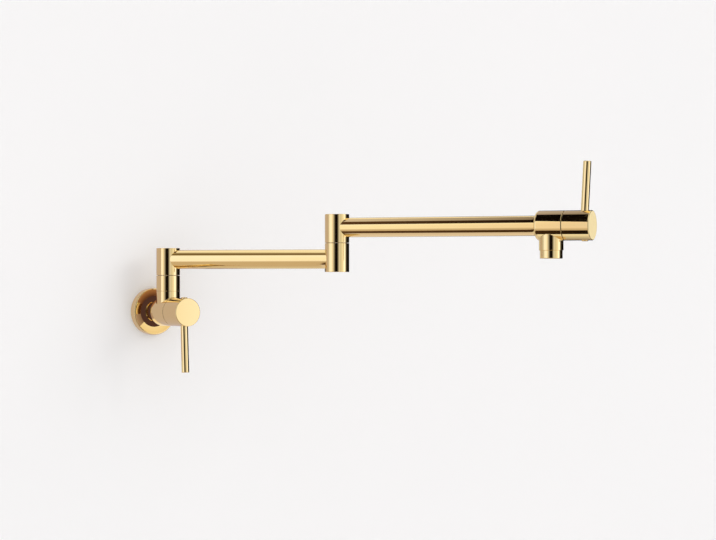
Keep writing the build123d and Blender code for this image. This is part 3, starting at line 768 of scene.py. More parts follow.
@dataclass(frozen=True)
class Part:
    """Gold piece that stands for one CAD node.

    Attributes:
        node: The node.
        body: Body that it rides on.
        axis: Its axis: up a column with levels counted from the split, out along an arm
            from its first column, or along a valve towards the knob.
    """

    node: str
    body: str
    axis: Axis

    def dress(self, piece: Piece) -> None:
        """Give the finished piece what a gold piece gets."""
        dress(piece, POLISHED_GOLD, self.body, self.node)


@dataclass(frozen=True)
class ValveBody(Part):
    """Round valve body across a column, with a soft blend where the two meet.

    Attributes:
        column: Axis of the column, from the valve's axis outwards.
        column_radius: Radius of the column.
        column_end: Level of the column's end.
        seat: Radius and depth of the bore at the column's end.
        rear: Radius and depth of the bore at the body's rear.
        blend: Radius of the blend.
        blend_overrun: How far the blend's arc goes on under the body's surface.
        blend_reach: Width of the search for its contact, in radii of the blend.
        edge_share: How far the middle of the column's rounded edge lies back, as a share
            of the rounding.
    """

    column: Axis
    column_radius: float
    column_end: float
    seat: Span
    rear: Span
    shoulder: float = 3.2
    joint_edge: float = 0.3
    blend: float = 1.0
    blend_overrun: float = radians(8)
    blend_reach: float = 2.5
    blend_points: int = 9
    search_points: int = 120  # places tried on the body's section
    search_rise: float = 4.0  # highest centre tried, in radii of the blend
    search_steps: int = 40  # times that the search is halved
    edge_share: float = 0.3
    cavity_radius: float = 10.5
    cavity_start: float = -9.0
    past: float = 2.0

    def build(self) -> None:
        """Make the body, join its column and bore both."""
        rear, front = self.axis.span(self.node)
        end, past, radius = self.column_end, self.past, self.round_radius
        profile = solid((rear, radius, self.shoulder), (front, radius, self.joint_edge))
        piece = turned(f"{self.node}_casting", self.axis.twisted(PIECE_TURN), profile)
        carve(piece, Cut.ADD, self.blended_column(profile))
        waterway = stepped_bar(
            "waterway",
            self.axis,
            (self.rear[0], rear - past, rear + self.rear[1]),
            (WATERWAY, rear - past, self.cavity_start + past),
            (self.cavity_radius, self.cavity_start, front + past),
        )
        column_bore = stepped_bar(
            "column_bore",
            self.column,
            (WATERWAY, 0, end + past),
            (self.seat[0], end - self.seat[1], end + past),
        )
        carve(piece, Cut.REMOVE, waterway, column_bore)
        self.dress(piece)

    @property
    def round_radius(self) -> float:
        """Radius of the round body, measured square to its column."""
        offsets = corners_of(self.node) - np.array(self.axis.origin)
        across = np.array(self.axis.along.cross(UP))
        return float(np.abs(offsets @ across).max())

    def blended_column(self, profile: Sequence[Corner]) -> Piece:
        """Column whose foot flares into the body along the curve where they meet.

        At each angle round the column a small arc touches the column's wall and the body's
        own section there, and ends just under the body's surface.

        Args:
            profile: Corners of the body's outline.

        Returns:
            The column, closed at both ends.
        """
        levels, radii = np.array(outline(profile)).T
        order = np.argsort(levels, kind="stable")
        levels, radii = levels[order], radii[order]
        angles = np.arange(FINE) * 2 * pi / FINE
        radius, blend = self.column_radius, self.blend
        out = np.linspace(radius, radius + self.blend_reach * blend, self.search_points)
        directions = self.column.points(0, 1, angles) - np.array(self.column.origin)
        along = directions @ np.array(self.axis.along)
        sideways = np.sqrt(np.maximum(1 - along**2, 0))
        steps = np.linspace(0, 1, self.blend_points)
        arcs = np.zeros((len(steps), FINE, 2))
        for index in range(FINE):
            half_width = np.interp(out * along[index], levels, radii)
            rise = np.sqrt(np.maximum(half_width**2 - (out * sideways[index]) ** 2, 0))
            centre_out = radius + blend
            low, high = rise[0] - blend, rise[0] + self.search_rise * blend
            for _ in range(self.search_steps):
                middle = (low + high) / 2
                gaps = np.hypot(out - centre_out, rise - middle)
                if gaps.min() < blend:
                    low = middle
                else:
                    high = middle
            nearest = int(gaps.argmin())
            contact = atan2(rise[nearest] - high, out[nearest] - centre_out)
            turn = (contact - pi) % (2 * pi) + self.blend_overrun
            sweep = pi + turn * steps
            arcs[:, index, 0] = centre_out + blend * np.cos(sweep)
            arcs[:, index, 1] = high + blend * np.sin(sweep)
        edge, end = self.joint_edge, self.column_end
        cut_back = edge * self.edge_share
        rings = [
            self.column.pole(end),
            self.column.ring(end, radius - edge),
            self.column.ring(end - cut_back, radius - cut_back),
            self.column.ring(end - edge, radius),
        ]
        rings += [self.column.ring(arc[:, 1], arc[:, 0]) for arc in arcs]
        rings += [self.column.ring(0, radius / 2), self.column.pole(0)]
        return skin("column", rings, closed=False)


@dataclass(frozen=True)
class Handle:
    """Knob with its lever and screw plug; all three turn together.

    Attributes:
        valve: First word of its nodes' names.
        body: Body that it rides on.
        axis: The valve's axis, towards the knob.
        side: Way in which the lever points.
    """

    valve: str
    body: str
    axis: Axis
    side: LeverSide
    face_edge: float = 0.9
    joint_edge: float = 0.3
    hollow_radius: float = 14.86
    hollow_depth: float = 4.4
    stem_bore: float = 4.05
    stem_depth: float = 28.3
    lever_radius: float = 4.75
    lever_setback: float = 9.5
    lever_length: float = 58.0
    lever_tilt: float = radians(3)
    lever_edge: float = 0.8
    recess_gap: float = 0.5
    recess_edge: float = 0.25
    seat: float = 2.5
    stud_radius: float = 2.5
    stud_length: float = 8.0
    stud_edge: float = 0.4
    screw_radius: float = 2.55
    plug_radius: float = 4.0
    plug_seat: float = 4.0
    plug_proud: float = 1.0

    def build(self) -> None:
        """Make the knob, the lever and the plug."""
        back, front, radius = self.axis.size(f"{self.valve}_knob")
        up = self.axis.up * self.side.value
        lean = up * cos(self.lever_tilt) + self.axis.along * sin(self.lever_tilt)
        middle = self.axis.place(front - self.lever_setback)
        across = self.axis.along.cross(self.axis.up)
        lever = Axis(middle + up * radius, lean, across)
        screw = Axis(middle, -up, across)
        self.build_knob(back, front, radius, lever, screw)
        self.build_lever(lever)
        self.build_plug(screw, radius)

    def build_knob(
        self, back: float, front: float, radius: float, lever: Axis, screw: Axis
    ) -> None:
        """Make the cup and cut the lever's recess and the screw's hole into it.

        Args:
            back: Level of the open end.
            front: Level of the face.
            radius: Outer radius.
            lever: The lever's axis, from the knob's surface outwards.
            screw: The screw's axis, from the middle outwards.
        """
        corners = solid(
            (front, radius, self.face_edge),
            (back, radius, self.joint_edge),
            (back, self.hollow_radius, self.joint_edge),
            (back + self.hollow_depth, self.hollow_radius),
            (back + self.hollow_depth, self.stem_bore),
            (back + self.stem_depth, self.stem_bore),
        )
        knob = turned(f"{self.valve}_knob_cup", self.axis, corners)
        recess = stepped_bar(
            "recess",
            lever,
            (self.stud_radius + FIT, -self.seat - self.stud_length, 0),
            (self.lever_radius + self.recess_gap, -self.seat - FIT, self.seat),
        )
        screw_hole = stepped_bar(
            "screw_hole",
            screw,
            (self.screw_radius, 0, radius + self.seat),
            (self.plug_radius + FIT, radius - self.plug_seat - FIT, radius + self.seat),
        )
        carve(knob, Cut.REMOVE, recess, screw_hole)
        dress(knob, POLISHED_GOLD, self.body, f"{self.valve}_knob")

    def build_lever(self, lever: Axis) -> None:
        """Make the pin with its rounded tip and the stud at its foot."""
        foot = -self.seat
        corners = solid(
            (foot - self.stud_length, self.stud_radius, self.stud_edge),
            (foot, self.stud_radius),
            (foot, self.lever_radius, self.recess_edge),
            (self.lever_length, self.lever_radius, self.lever_edge),
        )
        pin = turned(f"{self.valve}_lever_pin", lever, corners)
        dress(pin, POLISHED_GOLD, self.body, f"{self.valve}_lever")

    def build_plug(self, screw: Axis, radius: float) -> None:
        """Make the domed plug that closes the screw's hole."""
        top = radius + self.plug_proud
        corners = solid(
            (radius - self.plug_seat, self.plug_radius, self.joint_edge),
            (top, self.plug_radius, self.plug_proud),
        )
        plug = turned(f"{self.valve}_plug_button", screw, corners, SMALL)
        dress(plug, POLISHED_GOLD, self.body, f"{self.valve}_screw_plug")


@dataclass(frozen=True)
class Swivel:
    """Bores of a column that turns on a hollow pin with a flange at the split.

    Attributes:
        axis: The column's axis, upwards, with its levels counted from the split.
        shoulder: Radius of the seat for the pin's flange.
        cap: Radius of the cap's seat.
        ledge: Level of that seat.
        past: How far the tools run past the split.
        collar_depth: Depth of a bore that runs out of a collar's foot.
        hub_height: Height of a bore that runs out of a hub's top.
        flange_seats: Depth and height of the flange's seats under and over the split.
        pin_depth: Depth of the pin's socket in a hub under the split.
        waterway_depth: Depth that the waterway reaches there, counted from the split.
    """

    axis: Axis
    shoulder: float
    cap: float
    ledge: float
    pin: float = 10.0
    past: float = 5.0
    collar_depth: float = 40.0
    hub_height: float = 60.0
    flange_seats: Span = (2.5, 1.6)
    pin_depth: float = 14.6
    waterway_depth: float = 25.4

    @property
    def flange_seat(self) -> Bore:
        """Seat of the pin's flange under the split."""
        return self.shoulder, -self.flange_seats[0], self.past

    def collar(self) -> tuple[Bore, ...]:
        """Bores of a collar under the split."""
        return (self.pin, -self.collar_depth, self.past), self.flange_seat

    def lower_hub(self) -> tuple[Bore, ...]:
        """Bores of a hub under the split."""
        socket = (self.pin, -self.pin_depth, self.past)
        return self.flange_seat, socket, (WATERWAY, -self.waterway_depth, self.past)

    def upper_hub(self) -> tuple[Bore, ...]:
        """Bores of a hub over the split."""
        return (
            (self.shoulder, -self.past, self.flange_seats[1]),
            (self.pin + FIT, -self.past, self.hub_height),
            (self.cap, self.ledge, self.hub_height),
        )


@dataclass(frozen=True)
class ColumnPart(Part):
    """One turned length of a swivel column, with the socket of a tube where it has one.

    Attributes:
        bores: Its bores.
        foot_edge: Rounding of the lower outer edge.
        top_edge: Rounding of the upper outer edge.
        tube: Axis of the tube that it holds, from the column's axis outwards, if any.
    """

    bores: tuple[Bore, ...]
    foot_edge: float = 0.3
    top_edge: float = 0.3
    tube: Axis | None = None
    tube_radius: float = 12.05
    socket_radius: float = 12.8

    def build(self) -> None:
        """Make the bar, bore it and cut its socket."""
        foot, top, radius = self.axis.size(self.node)
        corners = solid((foot, radius, self.foot_edge), (top, radius, self.top_edge))
        piece = turned(f"{self.node}_sleeve", self.axis.twisted(PIECE_TURN), corners)
        tools = [stepped_bar("bore", self.axis, *self.bores)]
        if self.tube is not None:
            ends, copes = (0.0, 2 * radius), (self.socket_radius, 0.0)
            tools.append(coped_tube("socket", self.tube, (self.tube_radius, 0), ends, copes))
            tools.append(stepped_bar("tube_port", self.tube, (WATERWAY, 0, radius)))
        carve(piece, Cut.REMOVE, *tools)
        self.dress(piece)


@dataclass(frozen=True)
class ColumnCap(Part):
    """Pressed disc that closes a column's top."""

    edge: float = 0.3

    def build(self) -> None:
        """Make the disc."""
        foot, top, radius = self.axis.size(self.node)
        corners = solid((foot, radius, self.edge), (top, radius, self.edge))
        self.dress(turned(f"{self.node}_disc", self.axis, corners))


@dataclass(frozen=True)
class ArmTube(Part):
    """Drawn tube of one arm, hollowed at its ends to sit in the columns.

    Attributes:
        end: Level of its far end.
        in_column: True if that end sits in a column too.
        cope: Radius of the sockets' bottoms.
    """

    end: float
    in_column: bool
    cope: float = 12.85
    radius: float = 12.0
    wall: float = 1.5

    def build(self) -> None:
        """Make the tube."""
        radii = (self.radius, self.radius - self.wall)
        copes = (self.cope, self.cope if self.in_column else 0.0)
        self.dress(coped_tube(f"{self.node}_pipe", self.axis, radii, (0.0, self.end), copes))


@dataclass(frozen=True)
class Aerator:
    """Ring under the outlet stub with its woven screen."""

    axis: Axis
    thread_radius: float = 12.0
    bore: float = 10.0
    lip_radius: float = 8.8
    lip: float = 1.6
    foot_edge: float = 0.8
    joint_edge: float = 0.3
    ring_height: float = 9.7
    frame_width: float = 1.3
    frame_height: float = 0.9
    mesh_pitch: float = 1.25
    wire_radius: float = 0.2
    wire_sides: int = 6
    wire_points: int = 97

    def build(self) -> None:
        """Make the ring and the screen."""
        foot, top, outer = self.axis.size("aerator_housing")
        seam = foot + self.ring_height
        corners = bored(
            (foot, outer, self.foot_edge),
            (seam, outer, self.joint_edge),
            (seam, self.thread_radius),
            (top, self.thread_radius, self.joint_edge),
            (top, self.bore, self.joint_edge),
            (foot + self.lip, self.bore),
            (foot + self.lip, self.lip_radius),
            (foot, self.lip_radius, self.joint_edge),
        )
        ring = turned("aerator_ring", self.axis, corners)
        dress(ring, POLISHED_GOLD, "outer_arm", "aerator_housing")
        low, high = self.axis.span("aerator_screen")
        screen = self.grow_screen()
        settle(screen, self.axis.moved((low + high) / 2))
        dress(screen, STAINLESS, "outer_arm", "aerator_screen")

    def grow_screen(self) -> Piece:
        """Two sets of wires that weave over and under each other inside a flat frame."""
        radius = self.bore - FIT
        sizes = {
            "Radius": radius,
            "Pitch": self.mesh_pitch,
            "Count": 2 * int((radius - self.frame_width / 2) / self.mesh_pitch) + 1,
            "Wire": self.wire_radius,
            "Frame width": self.frame_width,
            "Frame height": self.frame_height,
        }
        grower = Grower("aerator_wire_screen", sizes)
        sizes, pitch = grower.sizes, grower.sizes["Pitch"]
        first = grower.maths("MULTIPLY", grower.maths("SUBTRACT", sizes["Count"], 1.0), -0.5)
        line = {
            "Count": sizes["Count"],
            "Start Location": grower.vector(Y=grower.maths("MULTIPLY", first, pitch)),
            "Offset": grower.vector(Y=pitch),
        }
        places = grower.add("GeometryNodeMeshLine", line)
        step = 2 / (self.wire_points - 1)
        line = {"Start Location": (-1.0, 0.0, 0.0), "Offset": (step, 0.0, 0.0)}
        wire = grower.add("GeometryNodeMeshLine", {"Count": self.wire_points} | line)
        here = grower.add("GeometryNodeInputPosition")
        along, across = grower.add("ShaderNodeSeparateXYZ", {0: here}).outputs[:2]
        half_frame = grower.maths("MULTIPLY", sizes["Frame width"], 0.5)
        inside = grower.maths("SUBTRACT", sizes["Radius"], half_frame)
        squares = [grower.maths("MULTIPLY", length, length) for length in (inside, across)]
        chord = grower.maths("SQRT", grower.maths("SUBTRACT", *squares))
        stretch = grower.vector(X=chord, Y=1.0, Z=1.0)
        laid = {"Points": places, "Instance": wire, "Scale": stretch}
        rows = grower.add("GeometryNodeInstanceOnPoints", laid)
        real = grower.add("GeometryNodeRealizeInstances", {"Geometry": rows})
        swings = []
        for operation in ("ADD", "SUBTRACT"):
            turns = grower.maths("DIVIDE", grower.maths(operation, along, across), pitch)
            swings.append(grower.maths("SINE", grower.maths("MULTIPLY", turns, pi)))
        wave = grower.maths("MULTIPLY", grower.maths("ADD", *swings), sizes["Wire"])
        lift = {"Geometry": real, "Offset": grower.vector(Z=grower.maths("MULTIPLY", wave, 0.5))}
        woven = grower.add("GeometryNodeSetPosition", lift)
        curves = grower.add("GeometryNodeMeshToCurve", {"Mesh": woven})
        drawn = grower.swept(curves, grower.circle(self.wire_sides, sizes["Wire"]))
        back = {"Geometry": drawn, "Rotation": (pi, 0.0, pi / 2)}
        crossing = grower.add("GeometryNodeTransform", back)
        flat = {"Width": sizes["Frame width"], "Height": sizes["Frame height"]}
        section = grower.add("GeometryNodeCurvePrimitiveQuadrilateral", flat)
        rim = grower.swept(grower.circle(SMALL, inside), section, caps=False)
        joined = grower.add("GeometryNodeJoinGeometry")
        for part in (drawn, crossing, rim):
            grower.tree.links.new(part.outputs[0], joined.inputs[0])
        return grower.grow(joined, STAINLESS)


@dataclass(frozen=True)
class HiddenWorks:
    """Pieces inside the valves and swivels, which keep their CAD meshes."""

    finishes: tuple[tuple[str, Finish], ...] = (
        ("oring", EPDM),
        ("seal", EPDM),
        ("aerator_washer", EPDM),
        ("washer", PTFE),
        ("circlip", SPRING_STEEL),
        ("stem_clip", SPRING_STEEL),
        ("grub_screw", SPRING_STEEL),
        ("disc", ALUMINA),
        ("core", ACETAL),
        ("cartridge_housing", MACHINED_BRASS),
        ("stem", MACHINED_BRASS),
        ("spigot", MACHINED_BRASS),
    )

    def build(self) -> None:
        """Give each node that is still shown the finish of the first word it matches."""
        for name, node in sorted(frame["nodes"].items()):
            if node.hide_render:
                continue
            finish = next(finish for word, finish in self.finishes if word in name)
            node.data.materials.clear()
            node.data.materials.append(finish.material)
            log.info("%s keeps its mesh, in %s", name, finish.slot)


# --- Studio -----------------------------------------------------------------------------
# Tones of the painted reflections that only the polished metal sees: the glossy-only surroundings
# and the glowing cards.
WHITE = "#FFFFFF"
COOL = "#E7EBFF"
WARM = "#FFF5F3"
DARK = "#0C0603"
BROWN = "#5A4432"
UMBER = "#3E2C1B"
DIM = "#8E8689"
FLAT_CORNERS = 4  # points of a card with a single panel


class Stop(NamedTuple):
    """Painted reflection at eye level, seen only by glossy rays: its colour in a direction in
    degrees from +X towards +Y.
    """

    turn: float
    tone: str
    strength: float = 1.0


class Panel(NamedTuple):
    """Soft edged patch of painted reflection above or below eye level, seen only by glossy rays.

    Its turn is counted from +X towards +Y, and its blur is the width of its edges to the
    sides and up and down. All its angles are in degrees.
    """

    turn: Span
    rise: Span
    tone: str
    blur: Span


@dataclass(frozen=True)
class Card:
    """Glowing card, seen only in reflections, that stands where a round bar mirrors it to the
    camera: a painted reflection stripe along the bar.

    Attributes:
        name: Name of the card.
        shares: Lower and upper edge of the stripe at the first level, as shares of the
            bar's radius.
        end_shares: The same at the last level.
        distance: How far off the card stands, in mm.
        tones: Its colours at the lower and the upper edge.
        end_tones: The same at the last level.
    """

    name: str
    shares: Span
    end_shares: Span
    distance: float
    tones: tuple[str, str] = (DARK, DARK)
    end_tones: tuple[str, str] = (DARK, DARK)


class WallFlag(NamedTuple):
    """Glowing card just in front of the wall that only the metal mirrors, a painted grey or dark
    reflection; span along X and Z, place along Y.
    """

    name: str
    tone: str
    width: Span
    rise: Span
    place: float


class GapFlag(NamedTuple):
    """Part of a glowing ring in the gap between the flange and the valve body, seen only in
    reflections: painted shade of the gap, with paler painted reflections round parts of it.

    Its angles are in degrees, from straight up to the right as seen from the front, and its
    tones are those at the inner and the outer radius.
    """

    name: str
    radii: Span
    turn: Span
    tones: tuple[str, str]


@dataclass(frozen=True)
class Studio:
    """Camera, pale wall and floor, soft light, and painted reflections: surroundings and glowing
    cards that only the polished metal sees.
    """

    outlet: Axis
    outer_arm: Axis
    camera_place: tuple[float, float, float] = (-1389.0, -2544.61, 46.226)
    camera_yaw: float = radians(33.884)
    camera_pitch: float = radians(0.137)
    focal_pixels: float = 2245.0
    frame_pixels: float = 716.0
    sensor: float = 36.0
    wall_gap: float = 0.5
    floor_level: float = -500.0
    stage_size: float = 9000.0
    plaster: tuple[str, str] = ("#F9F8F8", "#F6F6F6")
    plaster_patch: float = 500.0
    plaster_detail: float = 2.0
    backdrop: str = "#F5F4F4"
    sky_strength: float = 1.0
    sun_strength: float = 0.42
    sun_width: float = radians(24)
    sun_way: tuple[float, float, float] = (-0.55, 0.75, -0.45)
    headroom: float = 2.0  # brightest surroundings, so that a ramp can hold them
    sharpest_blur: float = 1e-4
    eye_level_rise: float = 38.0
    eye_level_blur: float = 10.0
    # Painted reflection round the object at eye level, seen only by glossy rays: dark, white and
    # cool bands that lay the stripes and highlights on the columns, arms and valves.
    eye_level: tuple[Stop, ...] = (
        Stop(0, DARK),
        Stop(52, DARK),
        Stop(58, WHITE, 0.7),
        Stop(138, WHITE, 0.56),
        Stop(149, WHITE, 0.62),
        Stop(156, COOL, 1.0),
        Stop(166, COOL, 1.4),
        Stop(184, COOL, 1.38),
        Stop(190, WHITE, 1.04),
        Stop(194, WARM, 0.93),
        Stop(202, COOL, 0.72),
        Stop(208, WHITE, 0.38),
        Stop(214, WARM, 0.14),
        Stop(221, DARK),
        Stop(240, DARK),
        Stop(246, WHITE, 0.16),
        Stop(251, WHITE, 0.35),
        Stop(258, COOL, 0.98),
        Stop(268, WHITE, 0.68),
        Stop(284, WHITE, 0.82),
        Stop(292, WHITE, 0.95),
        Stop(298, WHITE, 0.96),
        Stop(302, COOL, 1.5),
        Stop(315, COOL, 1.85),
        Stop(321, COOL, 1.2),
        Stop(327, COOL, 0.5),
        Stop(334, WHITE, 0.04),
        Stop(360, DARK),
    )
    # Painted reflections above and below eye level: pale grey ones below and a dark brown one
    # above.
    panels: tuple[Panel, ...] = (
        Panel((0, 360), (-90, -42), "#D2CAC8", (0, 10)),
        Panel((105, 215), (-90, -22), "#CDBFB4", (8, 16)),
        Panel((118, 195), (42, 63), "#7A6A4C", (14, 12)),
    )
    valve_span: Span = (-17.0, 57.0)
    card_rows: int = 13
    # Glowing cards that paint the dark, brown and pale reflection stripes along the outer arm.
    arm_reflection_cards: tuple[Card, ...] = (
        Card("over_arm", (0.29, 0.58), (0.31, 0.60), 560.0, (BROWN, BROWN)),
        Card("under_arm", (-0.585, -0.375), (-0.62, -0.37), 460.0, (BROWN, BROWN), (UMBER, UMBER)),
        Card("behind_arm", (0.58, 0.85), (0.60, 0.88), 560.0, ("#DAD5E2", "#DAD5E2"), (DIM, DIM)),
        Card(
            "low_arm", (-0.95, -0.585), (-0.95, -0.62), 460.0,
            ("#E9E4F0", "#D4CCD6"), ("#E9E4F0", "#D4CCD6"),
        ),
    )
    # Glowing cards that paint the dark and pale reflection stripes along the outlet's valve.
    valve_reflection_cards: tuple[Card, ...] = (
        Card("over_valve", (0.31, 0.73), (0.22, 0.72), 520.0),
        Card("under_valve", (-0.56, -0.31), (-0.57, -0.32), 440.0, (UMBER, UMBER)),
        Card(
            "behind_valve", (0.73, 0.96), (0.72, 0.96), 520.0,
            ("#AAA2B6", "#CBC5D7"), (DIM, "#AFA9B4"),
        ),
        Card("low_valve", (-0.96, -0.56), (-0.96, -0.57), 440.0, (DIM, WHITE), (DIM, WHITE)),
    )
    # Painted reflections of the wall: a grey card that stands for the shade near the flange, and
    # dark cards further right.
    wall_reflection_flags: tuple[WallFlag, ...] = (
        WallFlag("wall_shade_left", "#C5BBC3", (-265, 130), (-65, 135), -0.2),
        WallFlag("wall_right", DARK, (76, 700), (8, 62), -0.4),
        WallFlag("wall_far", DARK, (700, 3000), (-100, 300), -0.4),
    )
    # Painted shade in the gap between the flange and the valve body: a dark glowing ring that the
    # flange and body mirror, with paler painted reflections round parts of it.
    gap_place: float = -12.6
    gap_points: int = 49
    gap_reflection_flags: tuple[GapFlag, ...] = (
        GapFlag("gap", (12.6, 19.8), (-180, 180), ("#4E3A40", "#4E3840")),
        GapFlag("over_gap", (19.8, 28.5), (-62, 70), ("#54332A", "#A87A5C")),
        GapFlag("beside_gap", (19.8, 29.5), (228, 262), ("#86706C", "#B8A4A2")),
        GapFlag("under_gap", (19.8, 29.5), (108, 228), ("#FBF4E6", "#F3E4CC")),
    )
    # Pale glowing card before the outlet knob's end face: a painted reflection that brightens the
    # face.
    knob_card_tone: str = "#F6F8F2"
    knob_card_distance: float = 90.0
    knob_card_width: float = 1.1  # half of it, in radii of the knob
    knob_card_rise: Span = (-1.0, 1.3)  # lower and upper edge, in radii of the knob

    def build(self) -> None:
        """Set up the whole studio."""
        bpy.context.scene.view_settings.view_transform = "Standard"
        self.build_camera()
        self.build_world()
        self.build_backdrop()
        self.build_light()
        arm_end = self.outer_arm.along.dot(self.outlet.origin - self.outer_arm.origin)
        for card in self.arm_reflection_cards:
            self.build_card(card, self.outer_arm, (0.0, arm_end))
        for card in self.valve_reflection_cards:
            self.build_card(card, self.outlet, self.valve_span)
        self.build_flags()

    @property
    def eye(self) -> Vector:
        """Camera's place in millimetres."""
        return Vector(self.camera_place)

    def build_camera(self) -> None:
        """Put the camera at the photograph's viewing angle."""
        lens = bpy.data.cameras.new("camera")
        lens.sensor_width = self.sensor
        lens.lens = self.focal_pixels / self.frame_pixels * self.sensor
        camera = linked("camera", lens)
        level = cos(self.camera_pitch)
        ahead = (sin(self.camera_yaw) * level, cos(self.camera_yaw) * level, sin(self.camera_pitch))
        camera.location = self.eye * MM
        camera.rotation_mode = "QUATERNION"
        camera.rotation_quaternion = Vector(ahead).to_track_quat("-Z", "Y")
        bpy.context.scene.camera = camera

    def build_world(self) -> None:
        """Plain pale light for matt surfaces, and painted reflections for polished ones:
        surroundings that only glossy rays see.
        """
        world = bpy.data.worlds.new("surroundings")
        bpy.context.scene.world = world
        tree = empty_tree(world)
        direction = add_node(tree, "ShaderNodeTexCoord").outputs["Generated"]
        ahead, aside, upwards = add_node(tree, "ShaderNodeSeparateXYZ", {0: direction}).outputs
        turn = maths(tree, "ARCTAN2", aside, ahead)
        rise = maths(tree, "ARCSINE", upwards)
        colour = self.add_eye_level(tree, turn, rise)
        for panel in self.panels:
            mask = self.add_mask(tree, turn, panel.turn, panel.blur[0], 1.0)
            mask = self.add_mask(tree, rise, panel.rise, panel.blur[1], mask)
            colour = mix(tree, mask, colour, self.shaded(panel.tone))
        mirrored, plain, seen = (
            add_node(tree, "ShaderNodeBackground", {"Color": tone, "Strength": strength})
            for tone, strength in (
                (colour, self.headroom),
                (linear(self.backdrop), self.sky_strength),
                (linear(self.backdrop), 1.0),
            )
        )
        # Glossy rays see the painted reflections; camera and matt rays see the plain backdrop.
        ray = add_node(tree, "ShaderNodeLightPath").outputs
        matt = {0: ray["Is Camera Ray"], 1: plain, 2: seen}
        matt = add_node(tree, "ShaderNodeMixShader", matt)
        whole = {0: ray["Is Glossy Ray"], 1: matt, 2: mirrored}
        whole = add_node(tree, "ShaderNodeMixShader", whole)
        add_node(tree, "ShaderNodeOutputWorld", {"Surface": whole})

    def shaded(self, tone: str, strength: float = 1.0) -> tuple[float, ...]:
        """A tone as a share of the brightest surroundings."""
        return tuple(part * strength / self.headroom for part in linear(tone)[:3]) + (1.0,)

    def add_eye_level(self, tree: Tree, turn: Any, rise: Any) -> Any:
        """Painted reflection, seen only by glossy rays: a ramp of tones all round at eye level, and
        plain white above and below it.

        Args:
            tree: The world's tree.
            turn: Direction round the object, in radians.
            rise: Elevation, in radians.

        Returns:
            Socket with the colour.
        """
        share = maths(tree, "DIVIDE", maths(tree, "WRAP", turn, 2 * pi, 0.0), 2 * pi)
        ramp = add_node(tree, "ShaderNodeValToRGB", {0: share})
        elements = ramp.color_ramp.elements
        while len(elements) < len(self.eye_level):
            elements.new(1.0)
        for element, stop in zip(elements, self.eye_level):
            element.position = stop.turn / 360
        for element, stop in zip(elements, self.eye_level):
            element.color = self.shaded(stop.tone, stop.strength)
        span = (-self.eye_level_rise, self.eye_level_rise)
        mask = self.add_mask(tree, rise, span, self.eye_level_blur, 1.0)
        return mix(tree, mask, self.shaded(WHITE), ramp)

    def add_mask(self, tree: Tree, angle: Any, span: Span, blur: float, mask: Any) -> Any:
        """Narrow a mask to a span of angles.

        Args:
            tree: The world's tree.
            angle: The angle in radians.
            span: Its first and last value in degrees.
            blur: Width of the soft edges in degrees.
            mask: Mask so far.

        Returns:
            Node with the new mask.
        """
        middle = radians(span[0] + span[1]) / 2
        half = radians(span[1] - span[0]) / 2
        offset = maths(tree, "SUBTRACT", angle, middle)
        edges = {
            "Value": maths(tree, "ABSOLUTE", maths(tree, "WRAP", offset, pi, -pi)),
            "From Min": half + radians(blur) / 2,
            "From Max": half - radians(blur) / 2 - self.sharpest_blur,
        }
        edge = add_node(tree, "ShaderNodeMapRange", edges, interpolation_type="SMOOTHSTEP")
        return maths(tree, "MULTIPLY", edge, mask)

    def sheet(self, name: str, rows: Sequence[Sequence[Vector]]) -> Piece:
        """Thin sheet of the stage.

        Args:
            name: Name of the sheet.
            rows: Pairs of points in millimetres, from one edge of the sheet to the other.

        Returns:
            The sheet, linked and marked as stage.
        """
        points = [point * MM for row in rows for point in row]
        faces = [(2 * row, 2 * row + 1, 2 * row + 3, 2 * row + 2) for row in range(len(rows) - 1)]
        mesh = bpy.data.meshes.new(name)
        mesh.from_pydata(points, [], faces)
        piece = linked(name, mesh)
        piece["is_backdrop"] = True
        return piece

    def flat_rows(self, width: Span, *ends: Span) -> list[list[Vector]]:
        """Rows of a flat sheet: its width along X, and Y and Z of each of its ends."""
        return [[Vector((across, *end)) for across in width] for end in ends]

    def build_backdrop(self) -> None:
        """Pale wall behind the flange and pale floor, both clear from behind."""
        material = bpy.data.materials.new("pale_plaster")
        tree = empty_tree(material)
        place = {"Vector": add_node(tree, "ShaderNodeTexCoord").outputs["Object"]}
        mottle = add_noise(tree, self.plaster_patch, self.plaster_detail, place)
        colour = mix(tree, mottle, *(linear(tone) for tone in self.plaster))
        matt = {"Base Color": colour, "Roughness": 1.0, "Specular IOR Level": 0.0}
        shown = {
            0: add_node(tree, "ShaderNodeNewGeometry").outputs["Backfacing"],
            1: add_node(tree, "ShaderNodeBsdfPrincipled", matt),
            2: add_node(tree, "ShaderNodeBsdfTransparent"),
        }
        surface = add_node(tree, "ShaderNodeMixShader", shown)
        add_node(tree, "ShaderNodeOutputMaterial", {"Surface": surface})
        half = self.stage_size / 2
        foot, gap, width = self.floor_level, self.wall_gap, (-half, half)
        wall = self.sheet("wall", self.flat_rows(width, (gap, foot), (gap, half)))
        ground = self.flat_rows(width, (-self.stage_size, foot), (gap, foot))
        for piece in (wall, self.sheet("floor", ground)):
            piece.data.materials.append(material)
            piece.visible_glossy = False

    def build_light(self) -> None:
        """Soft light from the front right, which lays the flange's faint shadow."""
        lamp = bpy.data.lights.new("soft_light", "SUN")
        lamp.energy = self.sun_strength
        lamp.angle = self.sun_width
        light = linked("soft_light", lamp)
        light.visible_glossy = False
        light.rotation_mode = "QUATERNION"
        light.rotation_quaternion = Vector(self.sun_way).to_track_quat("-Z", "Y")

    def bounced(self, point: Vector, normal: Vector, distance: float) -> Vector:
        """Where the camera's ray that meets a surface at this point ends, this far on."""
        back = (self.eye - point).normalized()
        return point + (normal * 2 * normal.dot(back) - back) * distance

